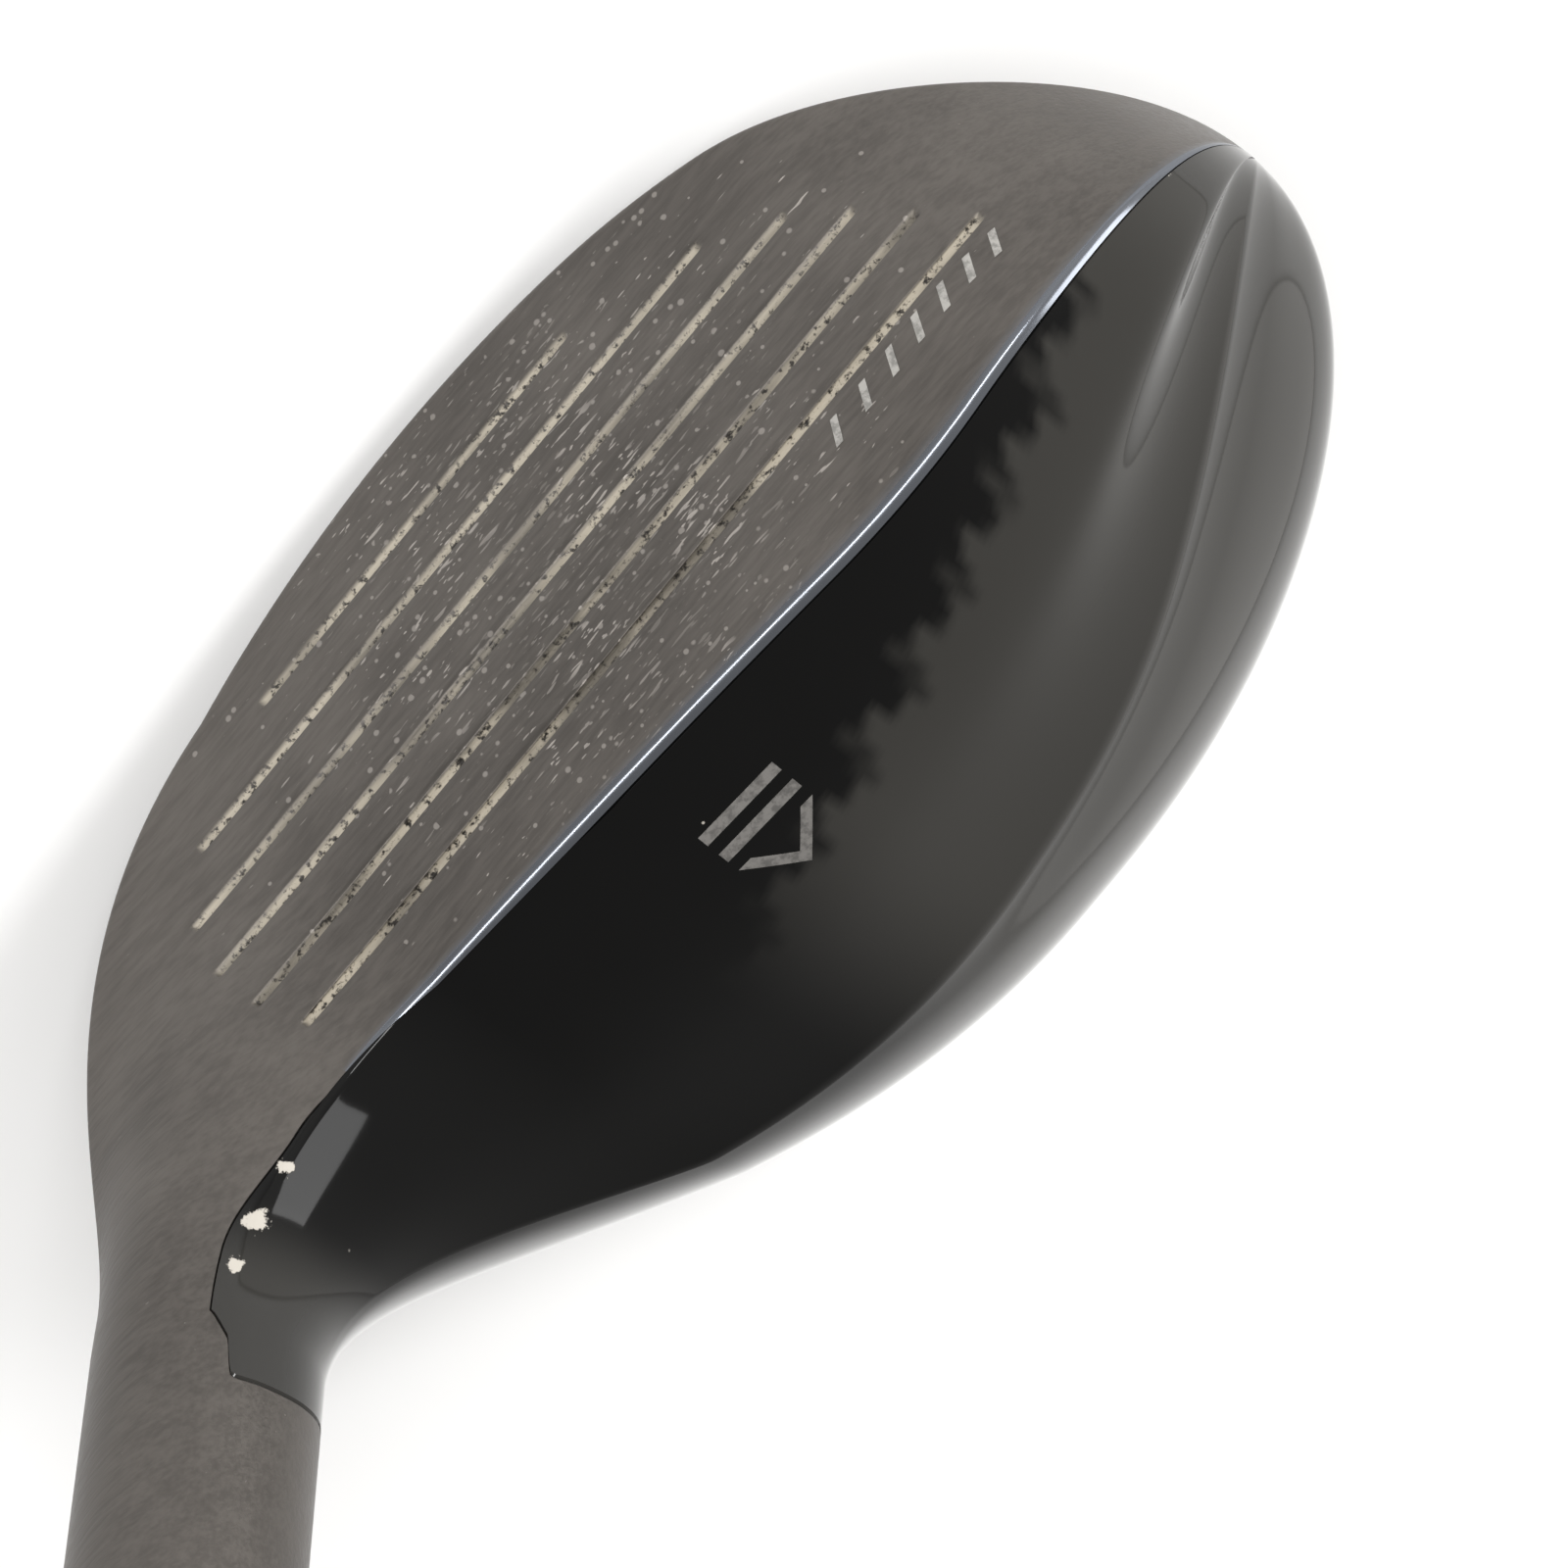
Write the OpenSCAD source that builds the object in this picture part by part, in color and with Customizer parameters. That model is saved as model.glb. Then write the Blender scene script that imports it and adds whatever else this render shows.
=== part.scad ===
// Hybrid golf club, right-handed, at address.
// The sole's low point rests at the origin on the ground plane z = 0.  The face
// looks towards -Y, the toe towards -X, and the shaft leans towards +X.
// The head is one lofted surface: upright sections from the toe to the neck,
// then sections that fan round a line above the crown into the round hosel.

/* [Head] */
// Loft of the face in degrees
loft = 23.5; // [16:0.5:28]
// Lie: angle of the hosel's axis above the ground
lie = 61; // [58:0.5:63]
// End of the toe, left of the origin
toe_x = -51; // [-62:0.5:-42]
// Height of the toe's outermost point
toe_z = 16.25; // [13:0.25:20]
// How far the toe's outermost point lies behind the origin
toe_y = 10.5; // [4:0.5:14]
// Leading edge ahead of the origin
face_lead = 20; // [16:0.5:24]
// Height of the face's lower edge above the sole
lead_h = 2.85; // [2:0.05:5]
// Height of the topline at the middle of the face
face_h = 33.4; // [28:0.2:40]
// Rise of the topline towards the toe, for each millimetre
topline_slope = 0.078; // [0:0.002:0.1]
// Back of the head behind the origin
back_y = 36.5; // [30:0.5:43]
// Height of the rearmost edge
back_z = 18.5; // [14:0.5:22]
// Radius of the back outline behind the heel
heel_curve_r = 50; // [42:1:70]
// Radius of the sole from heel to toe
camber_r = 115; // [90:1:220]
// Radius of the face's bulge, from heel to toe
bulge_r = 700; // [250:10:900]
// Radius of the face's roll, from sole to topline
roll_r = 300; // [200:10:600]
// Wall of the casting, the face and the crown
wall = 1.8; // [1.4:0.1:2.4]

/* [Score lines] */
// Number of score lines
groove_n = 6; // [3:1:7]
// Height of the lowest line above the ground
groove_z = 7.74; // [6:0.02:10]
// Distance between lines, measured upright
groove_pitch = 3.67; // [3:0.01:4.2]
// Half the length of the lowest line
groove_short = 16; // [10:1:22]
// Half the length that the upper lines come close to
groove_long = 34; // [28:1:36]
// Width of a line
groove_w = 0.8; // [0.5:0.05:0.9]
// Depth of a line
groove_deep = 0.4; // [0.2:0.05:0.5]

/* [Hosel] */
// Where the hosel's axis meets the ground, from the origin
hosel_x = 27.2; // [25:0.2:32]
// How far the hosel's axis lies ahead of the origin
hosel_lead = 5.75; // [4:0.25:7]
// Outer radius of the hosel
hosel_r = 7.3; // [7.2:0.1:8]
// Hosel mouth, along the axis from the ground
mouth_t = 65; // [58:1:78]
// Outer radius of the tube inside the hosel
tube_r = 6.25; // [6.2:0.05:6.4]
// Radius of the bore that takes the adapter sleeve
bore_r = 5.55; // [5.4:0.05:5.6]
// Lower end of the tube, along the axis
tube_t = 19.5; // [19:0.25:20.5]
// Underside of the bolt shelf, along the axis
shelf_t = 28; // [26:0.5:31]
// Thickness of the bolt shelf
shelf_h = 3; // [2:0.25:4]
// Radius of the bolt port below the shelf
port_r = 4.9; // [4.8:0.05:5]
// Radius of the port's mouth, where the wrench enters
port_mouth_r = 5.1; // [5.05:0.05:5.3]
// Length of the port's mouth
port_mouth_h = 3.3; // [2:0.1:3.4]
// Number of key lugs in the hosel mouth
lug_n = 2; // [2:1:6]
// Width of a lug
lug_w = 2.2; // [1.6:0.1:3]
// Height of a lug
lug_h = 1.6; // [1:0.1:2]

/* [Bolt] */
// Radius of the bolt's shank, M5
bolt_r = 2.45; // [1.9:0.05:2.5]
// Length of the bolt under its head
bolt_l = 10.8; // [9.5:0.1:11.2]
// Radius of the bolt's head
bolt_head_r = 4.1; // [3.6:0.1:4.5]
// Height of the bolt's head
bolt_head_h = 4; // [3.2:0.1:4.6]
// Thickness of the bolt's washer
bolt_washer_h = 0.7; // [0.5:0.1:1]
// Thickness of the nylon retainer on the shelf
retainer_h = 1; // [0.6:0.1:1.2]
// Size of the six-lobe socket across its points
socket_w = 4.5; // [3.9:0.05:4.6]
// Depth of the six-lobe sockets
socket_deep = 2.5; // [1.5:0.1:3]

/* [Adapter] */
// Height of the loft ring above the hosel mouth
ring_h = 4; // [3:0.5:6]
// Outer radius of the loft ring
ring_r = 7.5; // [7.3:0.05:8.2]
// Outer radius of the sleeve above the hosel
sleeve_neck_r = 5.9; // [5.6:0.05:6]
// Upper end of the sleeve above the loft ring
sleeve_up = 10; // [6:0.5:14]
// Length of the thread insert
insert_l = 6; // [5:0.5:6.5]
// Outer radius of the thread insert
insert_r = 3.4; // [3.2:0.1:3.8]
// Length of the ferrule
ferrule_l = 24; // [18:0.5:32]
// Radius of the ferrule's upper end
ferrule_top_r = 5.5; // [5.3:0.05:6]

/* [Shaft] */
// Club length from the ground to the end of the grip, along the axis
club_l = 1016; // [960:1:1060]
// Outer radius of the shaft's tip
tip_r = 4.7; // [4.2:0.05:4.75]
// Inner radius of the shaft's tip
tip_bore_r = 2.8; // [2.6:0.1:3.2]
// Where the shaft starts to widen, along the axis
taper_t = 120; // [100:5:180]
// Outer radius of the shaft's butt
butt_r = 7.62; // [7.2:0.02:7.9]
// Wall of the shaft's butt
butt_wall = 1.2; // [0.8:0.1:1.6]
// Length of the plug in the shaft's tip
plug_l = 14; // [8:1:30]

/* [Grip] */
// Length of the rubber grip
grip_l = 267; // [240:1:290]
// Outer radius at the grip's mouth
grip_mouth_r = 9; // [8.8:0.1:10]
// Outer radius below the grip's flared end
grip_top_r = 13.2; // [12:0.1:14]
// Outer radius of the flared end and its cap
cap_r = 14.2; // [13.5:0.1:15.5]
// Thickness of the grip cap
cap_h = 3; // [2:0.5:4]
// Radius of the vent hole through the cap
vent_r = 2; // [1.5:0.1:2.5]
// Thickness of the grip tape
tape_h = 0.2; // [0.1:0.05:0.3]

/* [Rear weight] */
// Radius of the screw-in weight
weight_r = 7; // [6:0.1:7.4]
// Thickness of the screw-in weight
weight_h = 6; // [4:0.5:7]
// How far the weight's face lies below the skin
weight_sunk = 1.2; // [1:0.1:2]
// Tilt of the weight's axis below the horizontal, facing back
weight_tilt = 61; // [56:1:66]
// Thickness of the washer under the weight
weight_washer_h = 0.6; // [0.4:0.1:1]

/* [Hidden] */
$fn = 64;

fit = 0.05;          // radial clearance of pieces that fit one in another
lift = 0.05;         // clearance between flat faces along an axis
loose = 0.15;        // clearance of the key lugs in their notches
beyond = 4;          // how far a cut runs past what it cuts
flat_cut = 0.15;     // depth of the flat ground on the sole's low point

// Shape of the head's sections
face_mid_z = 20;     // height about which the face rolls
crown_start = 14;    // angle at which the crown leaves the lip, in degrees
crown_full = 0.654;  // fullness of the crown
lip = 0.8;           // width of the rounded lip along the topline
top_span = 38;       // length over which the topline drops to the toe
sole_span = 34;      // length over which the sole rises to the toe
back_span = 43;      // length over which the back sweeps round to the toe
front_span = 23.5;   // length over which the face wraps back to the toe
deepest_x = -5;      // station where the head is deepest
carry = 0.5;         // how far the body's taper carries on into the neck

// The line above the crown that the neck's sections fan round
neck_x = 22.4;
neck_z = face_h + 21.9;

// Grid of the head's surface: rows from the toe to the hosel's mouth, and
// columns from the leading edge up the face, over the crown and back
// under the sole
body_rows = 18;
fan_rows = 10;
hosel_rows = 4;
face_cols = 7;
lip_cols = 2;
crown_cols = 9;
skirt_cols = 5;
back_cols = 6;
sole_cols = 5;
rows = body_rows + fan_rows + hosel_rows;
cols = face_cols + lip_cols + crown_cols + skirt_cols + back_cols + sole_cols;
neck_row = body_rows + fan_rows;
topline_col = face_cols + lip_cols;
skirt_col = topline_col + crown_cols + skirt_cols;
face_end_row = body_rows + 3;

// Positions along the hosel's axis, counted from the ground
shelf_top_t = shelf_t + shelf_h;
retainer_t = shelf_top_t + lift;
sleeve_t = retainer_t + retainer_h + 0.3;
insert_t = sleeve_t + 0.2;
tip_t = insert_t + insert_l + 0.6;
tube_top_t = mouth_t - lug_h - 0.4;
bolt_under_t = shelf_t - bolt_washer_h - 2 * lift;
ring_t = mouth_t + lift;
ferrule_t = ring_t + ring_h + lift;
sleeve_top_t = ring_t + ring_h + sleeve_up;
cap_t = club_l - cap_h;
grip_t = cap_t - lift - grip_l;
butt_t = grip_t - 4;
shaft_end_t = cap_t - lift;

pad_h = 10;          // thickness of the weight pad

// Radii that follow their seats
sleeve_r = bore_r - fit;
shelf_hole_r = bolt_r + 0.3;
insert_bore_r = bolt_r + fit;
sleeve_bore_r = tip_r + fit;
tape_r = butt_r + fit + tape_h;
grip_bore_r = tape_r + fit;
seat_bore_r = weight_r + fit;
seat_r = seat_bore_r + 1.35;
seat_floor = 1.4;

// Where the rear weight's axis leaves the skin
weight_u = 0.45;
weight_at = skirt_point(weight_u);

function cubic(a, b, c, d, t) =
    pow(1 - t, 3) * a + 3 * pow(1 - t, 2) * t * b
    + 3 * (1 - t) * t * t * c + pow(t, 3) * d;

// n points of a curve from a towards d, without its end
function curve(a, b, c, d, n) = [for (i = [0:n - 1]) cubic(a, b, c, d, i / n)];

// Share of the full size at station x, falling to 0 at the toe's end
function narrowing(x, end, span) =
    let (u = min(1, max(0, (end + span - x) / span)))
    sqrt(1 - u * u);

// The face, at station x and height z
function face_y(x, z) =
    -face_lead + z * tan(loft) + x * x / (2 * bulge_r)
    + pow(z - face_mid_z, 2) / (2 * roll_r);

function mix(a, b, share) = a + (b - a) * share;

// One upright section at station x, lying w under the outer skin: a closed
// loop of [y, z] that starts at the leading edge and goes up the face
function section(x, w) =
    let (
        end = toe_x + w,
        k_front = narrowing(x, end, front_span - w),
        k_top = narrowing(x, end, top_span - w),
        k_sole = narrowing(x, end, sole_span - w),
        k_back = narrowing(x, end, back_span - w),
        sole_z = x * x / (2 * camber_r) - flat_cut + w,
        crest = face_h - topline_slope * (x + 12) - w,
        back = back_y - w - pow(max(0, x - deepest_x), 2) / (2 * heel_curve_r),
        top_z = mix(toe_z, crest, k_top),
        lead_z = mix(toe_z, sole_z + lead_h, k_sole),
        low = [mix(toe_y, 0, k_back), mix(toe_z, sole_z, k_sole)],
        rear = [mix(toe_y, back, k_back), mix(toe_z, back_z, k_back)],
        edge = lip * min(1, k_top),
        skin = function(z) mix(toe_y, face_y(x, z) + w / cos(loft), k_front),
        lead = [skin(lead_z), lead_z],
        top = [skin(top_z), top_z],
        lip_a = [skin(top_z - 0.6 * edge), top_z - 0.6 * edge],
        lip_b = top + edge * [0.9, 0.15],
        deep = rear.x - top.x,
        tall = rear.y - top.y,
        share_y = 0.73 + 0.17 * x / 50 - 0.18 * pow(x / 50, 2),
        share_z = 0.78 + 0.05 * x / 50,
        shoulder = [top.x + share_y * deep, rear.y - share_z * tall],
        to_back = rear.x - shoulder.x,
        rise = [0.35 * deep * cos(crown_start),
                0.35 * deep * sin(crown_start) * crown_full],
        under = rear.y - low.y,
        slope = [sin(loft), cos(loft)]
    )
    concat(
        [for (i = [0:face_cols - 1])
            let (z = mix(lead_z, lip_a.y, i / face_cols)) [skin(z), z]],
        curve(lip_a, lip_a + edge * [0.15, 0.45],
              lip_b - 0.5 * edge * [cos(crown_start), sin(crown_start)],
              lip_b, lip_cols),
        curve(lip_b, lip_b + rise,
              shoulder + deep * [-0.32, 0.096 * min(1, -tall / 20)],
              shoulder, crown_cols),
        curve(shoulder, shoulder + to_back * [0.35, -0.21],
              rear + [0, 0.55 * (shoulder.y - rear.y)], rear, skirt_cols),
        curve(rear, rear - [0, 0.55 * under],
              low + [0.5 * (rear.x - low.x), 1.8 * k_sole], low, back_cols),
        curve(low, low - [0.55 * (low.x - lead.x), 0],
              lead - slope * 0.75 * (lead.y - low.y), lead, sole_cols)
    );

// A point of the skin in the plane x = 0, between the rearmost edge and the
// sole's low point, as [y, z]
function skirt_point(t) =
    let (rear = [back_y, back_z], low = [0, -flat_cut], under = back_z + flat_cut)
    cubic(rear, rear - [0, 0.55 * under], low + [0.5 * back_y, 1.8], low, t);

function ease(t) = t * t * (3 - 2 * t);

// Distance of the hosel's axis from the neck's fan line
axis_r = neck_z * cos(lie) - (neck_x - hosel_x) * sin(lie);

// Angles round the hosel that the columns of the last upright section run to
function turn_angles(base, lo, hi) =
    let (middle = (lo + hi) / 2)
    [for (p = base) atan2((p.x - middle.x) / (hi.x - lo.x), (middle.y - p.y) / (hi.y - lo.y))];

// The whole grid of points w under the outer skin; row 0 is the toe's end
function grid(w) =
    let (
        reach = neck_x - toe_x - w,
        base = section(neck_x, w),
        before = section(neck_x - 0.5, w),
        lo = [min([for (p = base) p.x]), min([for (p = base) p.y])],
        hi = [max([for (p = base) p.x]), max([for (p = base) p.y])],
        turn = turn_angles(base, lo, hi),
        round_r = hosel_r - w,
        ring = [for (a = turn) [axis_r + round_r * cos(a), -hosel_lead + round_r * sin(a)]],
        body = [for (i = [1:body_rows])
            let (x = toe_x + w + reach * pow(i / body_rows, 1.7))
            [for (p = section(x, w)) [x, p.x, p.y]]],
        fan = [for (i = [1:fan_rows])
            let (f = i / fan_rows, a = lie * f)
            [for (j = [0:cols - 1])
                let (
                    low = ease((hi.y - base[j].y) / (hi.y - lo.y)),
                    k = mix(pow(ease(f), 0.68), ease(min(1, f / 0.92)), low),
                    r = mix(neck_z - base[j].y, ring[j].x, k),
                    run = carry * (neck_z - base[j].y) * sin(a) * pow(1 - f, 6),
                    drift = (base[j] - before[j]) / 0.5 * run
                )
                [neck_x + r * sin(a), mix(base[j].x, ring[j].y, k) + drift.x,
                 neck_z - r * cos(a) + drift.y]]],
        last = fan[fan_rows - 1],
        start_t = (neck_x - hosel_x) * cos(lie) + neck_z * sin(lie),
        mouth = [for (i = [1:hosel_rows])
            [for (p = last)
                p + (mouth_t - start_t) * i / hosel_rows * [cos(lie), 0, sin(lie)]]]
    )
    concat([[for (j = [0:cols - 1]) [toe_x + w, toe_y, toe_z]]], body, fan, mouth);

// Number of a grid point in a polyhedron: the outer skin first, then the inner
// one, each with its single toe point and then its rows
function id(i, j, inner) =
    let (count = 1 + rows * cols, first = inner ? count : 0)
    i == 0 ? first : first + 1 + (i - 1) * cols + (j % cols);

function flat_points(g) =
    concat([g[0][0]], [for (i = [1:rows]) each g[i]]);

function whole(tri) = tri[0] != tri[1] && tri[1] != tri[2] && tri[0] != tri[2];

// Two triangles of a four-cornered patch; cross picks which way it is split
function patch(q, cross = false) =
    let (pair = cross ? [[q[0], q[1], q[3]], [q[1], q[2], q[3]]]
                      : [[q[0], q[1], q[2]], [q[0], q[2], q[3]]])
    [for (tri = pair) if (whole(tri)) tri];

// The part of the head's wall, from depth w0 to w1, whose cells has() picks
module panel(has, w0, w1) {
    faces = [for (i = [0:rows - 1], j = [0:cols - 1]) if (has(i, j))
        let (
            a = id(i, j, false), b = id(i + 1, j, false),
            c = id(i + 1, j + 1, false), d = id(i, j + 1, false),
            e = id(i, j, true), f = id(i + 1, j, true),
            g = id(i + 1, j + 1, true), h = id(i, j + 1, true),
            before = (j + cols - 1) % cols,
            after = (j + 1) % cols
        )
        each concat(
            patch([a, d, c, b]),
            patch([e, f, g, h]),
            has(i, before) ? [] : patch([a, b, f, e]),
            has(i, after) ? [] : patch([c, d, h, g], true),
            i == 0 || has(i - 1, j) ? [] : patch([d, a, e, h], true),
            i < rows - 1 && has(i + 1, j) ? [] : patch([b, c, g, f])
        )];
    polyhedron(points = concat(flat_points(grid(w0)), flat_points(grid(w1))), faces = faces);
}

// Last row of the crown at column j: it runs onto the hosel, but stops short at
// the topline, so that its edge rounds the corner onto the neck
function crown_end(j) =
    let (from_topline = j - topline_col)
    neck_row + 1 - max(0, 3 - from_topline) - (from_topline == 0 ? 1 : 0);

function in_crown(i, j) =
    i > 0 && j >= topline_col && j < skirt_col && i < crown_end(j);

function in_face(i, j) = i > 0 && j < topline_col && i < face_end_row;

function in_body(i, j) = !in_crown(i, j) && !in_face(i, j);

// Cells of the pad that lies on the sole behind the face
function in_pad(i, j) = i >= 6 && i < 17 && j >= cols - 4 && j < cols - 1;

// Stands its children on the hosel's axis, t from the ground
module on_axis(t = 0) {
    translate([hosel_x + t * cos(lie), -hosel_lead, t * sin(lie)])
        rotate([0, 90 - lie, 0])
            children();
}

// Stands its children on the rear weight's axis, pointing out of the head,
// with z = 0 where the axis leaves the skin
module on_weight_axis(depth = 0) {
    translate([0, weight_at.x, weight_at.y])
        rotate([-90 - weight_tilt, 0, 0])
            translate([0, 0, -depth])
                children();
}

module ring(r_out, r_in, h) {
    difference() {
        cylinder(r = r_out, h = h);
        translate([0, 0, -1]) cylinder(r = r_in, h = h + 2);
    }
}

// Six-lobe socket, cut upwards from z = 0
module six_lobe() {
    core_r = socket_w * 0.36;
    lobe_r = socket_w * 0.1;
    translate([0, 0, -1]) cylinder(r = core_r, h = socket_deep + 1);
    for (a = [0:60:300])
        rotate([0, 0, a]) translate([socket_w / 2 - lobe_r, 0, -1])
            cylinder(r = lobe_r, h = socket_deep + 1);
}

// Key lugs round the hosel mouth, or with gap > 0 the notches that take them
module lugs(gap, r_in, r_out) {
    for (k = [0:lug_n - 1])
        rotate([0, 0, 135 + k * 360 / lug_n])
            translate([r_in, -lug_w / 2 - gap, -lug_h - gap])
                cube([r_out - r_in, lug_w + 2 * gap, lug_h + gap + (gap > 0 ? beyond : 0)]);
}

// Room for the hosel tube in whatever is wrapped round it
module tube_room() {
    on_axis(tube_t) cylinder(r = tube_r + fit, h = mouth_t);
}

module head_body() {
    color([0.33, 0.31, 0.29])
    difference() {
        panel(function(i, j) in_body(i, j), 0, wall);
        tube_room();
        on_axis(-beyond) cylinder(r = tube_r + fit, h = tube_t + 2 * beyond);
        on_axis(mouth_t) lugs(loose, tube_r - 1, hosel_r + 1);
        on_weight_axis(12) cylinder(r = seat_r + fit, h = 12 + beyond);
        translate([-60, -40, -beyond]) cube([120, 80, beyond]);
    }
}

// Half the length of score line k, counted from the lowest
function groove_half(k) = groove_long - (groove_long - groove_short) * pow(0.45, k);

// Middle of score line k: the upper ones sit a little towards the toe
function groove_mid(k) = 2.5 - 0.22 * k * k;

// Each score line is a thin ring about the face's bulge axis, limited in length
module face_cup() {
    color([0.36, 0.34, 0.32])
    difference() {
        panel(function(i, j) in_face(i, j), 0, wall);
        tube_room();
        for (k = [0:groove_n - 1]) {
            z = groove_z + k * groove_pitch;
            sweep = asin(groove_half(k) / bulge_r);
            aside = asin(groove_mid(k) / bulge_r);
            translate([0, bulge_r + face_y(0, z), z - groove_w / 2])
                rotate([0, 0, aside - 90 - sweep])
                    rotate_extrude(angle = 2 * sweep, $fn = 200)
                        translate([bulge_r - groove_deep, 0])
                            square([groove_deep + 1, groove_w]);
        }
    }
}

module crown_shell() {
    color([0.06, 0.06, 0.06])
    difference() {
        panel(function(i, j) in_crown(i, j), 0, wall);
        tube_room();
    }
}

module weight_bar() {
    color([0.45, 0.45, 0.47])
    panel(function(i, j) in_pad(i, j), wall + 0.2, wall + 0.2 + pad_h);
}

module hosel_tube() {
    color([0.6, 0.6, 0.6])
    on_axis(tube_t)
    difference() {
        cylinder(r = tube_r, h = tube_top_t - tube_t);
        translate([0, 0, -1]) cylinder(r = port_r, h = shelf_t - tube_t + 1);
        translate([0, 0, -1]) cylinder(r = port_mouth_r, h = port_mouth_h + 1);
        cylinder(r = shelf_hole_r, h = shelf_top_t);
        translate([0, 0, shelf_top_t - tube_t]) cylinder(r = bore_r, h = tube_top_t);
    }
}

module bolt_retainer() {
    color([0.85, 0.84, 0.8])
    on_axis(retainer_t) ring(bore_r - 2 * fit, bolt_r + 2 * fit, retainer_h);
}

module weight_seat() {
    rim = weight_sunk + 0.4;
    floor_at = weight_sunk + weight_h + weight_washer_h + 2 * lift;
    color([0.5, 0.5, 0.5])
    on_weight_axis(floor_at + seat_floor)
    difference() {
        cylinder(r = seat_r, h = floor_at + seat_floor - rim);
        translate([0, 0, seat_floor]) cylinder(r = seat_bore_r, h = 20);
    }
}

module weight_washer() {
    color([0.9, 0.9, 0.86])
    on_weight_axis(weight_sunk + weight_h + weight_washer_h + lift)
        ring(weight_r - 0.1, 3, weight_washer_h);
}

module sole_weight() {
    color([0.55, 0.55, 0.57])
    on_weight_axis(weight_sunk + weight_h)
    difference() {
        cylinder(r = weight_r, h = weight_h);
        translate([0, 0, weight_h]) mirror([0, 0, 1]) six_lobe();
    }
}

module bolt_washer() {
    color([0.75, 0.75, 0.75])
    on_axis(bolt_under_t + lift) ring(port_r - 0.2, bolt_r + fit, bolt_washer_h);
}

module hosel_bolt() {
    color([0.6, 0.6, 0.62])
    on_axis(bolt_under_t - bolt_head_h)
    difference() {
        union() {
            cylinder(r = bolt_head_r, h = bolt_head_h);
            cylinder(r = bolt_r, h = bolt_head_h + bolt_l);
        }
        six_lobe();
    }
}

module loft_ring() {
    color([0.12, 0.12, 0.12])
    on_axis(ring_t)
    union() {
        ring(ring_r, sleeve_neck_r + fit, ring_h);
        lugs(0, tube_r + 0.15, hosel_r - 0.1);
    }
}

module adapter_sleeve() {
    neck_from = tube_top_t + 0.2;
    color([0.7, 0.7, 0.72])
    on_axis(sleeve_t)
    difference() {
        union() {
            cylinder(r = sleeve_r, h = sleeve_top_t - sleeve_t);
            translate([0, 0, neck_from - sleeve_t])
                cylinder(r = sleeve_neck_r, h = sleeve_top_t - neck_from);
        }
        translate([0, 0, -1]) cylinder(r = insert_r + fit, h = insert_l + 3);
        translate([0, 0, tip_t - sleeve_t - lift])
            cylinder(r = sleeve_bore_r, h = sleeve_top_t);
    }
}

module thread_insert() {
    color([0.8, 0.75, 0.55])
    on_axis(insert_t) ring(insert_r, insert_bore_r, insert_l);
}

module ferrule() {
    inner_h = sleeve_top_t - ferrule_t + 0.2;
    color([0.05, 0.05, 0.05])
    on_axis(ferrule_t)
    rotate_extrude()
        polygon([
            [sleeve_neck_r + fit, 0],
            [ring_r - 0.1, 0],
            [ring_r - 0.15, ferrule_l * 0.25],
            [ring_r - 0.6, ferrule_l * 0.6],
            [ferrule_top_r, ferrule_l],
            [tip_r + fit, ferrule_l],
            [tip_r + fit, inner_h],
            [sleeve_neck_r + fit, inner_h]
        ]);
}

module shaft() {
    color([0.1, 0.1, 0.11])
    on_axis(tip_t)
    rotate_extrude()
        polygon([
            [tip_bore_r, 0],
            [tip_r, 0],
            [tip_r, taper_t - tip_t],
            [butt_r, butt_t - tip_t],
            [butt_r, shaft_end_t - tip_t],
            [butt_r - butt_wall, shaft_end_t - tip_t],
            [butt_r - butt_wall, butt_t - tip_t],
            [tip_bore_r, taper_t - tip_t]
        ]);
}

module tip_plug() {
    color([0.78, 0.63, 0.3])
    on_axis(tip_t + 1) cylinder(r = tip_bore_r - fit, h = plug_l);
}

module grip_tape() {
    color([0.8, 0.78, 0.7])
    on_axis(grip_t + 1) ring(tape_r, butt_r + fit, grip_l - 2);
}

module grip() {
    bead = 4;
    color([0.07, 0.07, 0.07])
    on_axis(grip_t)
    rotate_extrude()
        polygon([
            [grip_bore_r, 0],
            [grip_mouth_r, 0],
            [grip_mouth_r + 0.3, bead / 2],
            [grip_mouth_r, bead],
            [mix(grip_mouth_r, grip_top_r, 0.6), grip_l * 0.5],
            [grip_top_r, grip_l * 0.93],
            [cap_r, grip_l - 2],
            [cap_r, grip_l],
            [grip_bore_r, grip_l]
        ]);
}

module grip_cap() {
    edge = 1.2;
    color([0.09, 0.09, 0.09])
    on_axis(cap_t)
    rotate_extrude()
        polygon([
            [vent_r, 0],
            [cap_r, 0],
            [cap_r, cap_h - edge],
            [cap_r - edge, cap_h],
            [vent_r, cap_h]
        ]);
}

head_body();
face_cup();
crown_shell();
weight_bar();
hosel_tube();
bolt_retainer();
weight_seat();
weight_washer();
sole_weight();
bolt_washer();
hosel_bolt();
loft_ring();
adapter_sleeve();
thread_insert();
ferrule();
shaft();
tip_plug();
grip_tape();
grip();
grip_cap();
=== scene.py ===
"""Hybrid golf club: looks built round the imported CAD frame, in metres, in the frame's own axes."""

import logging
import math
from abc import ABC, abstractmethod
from collections.abc import Callable, Sequence
from dataclasses import dataclass, field
from enum import Enum

import bmesh
import bpy
import numpy as np
from mathutils import Matrix, Vector
from mathutils.kdtree import KDTree


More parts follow.
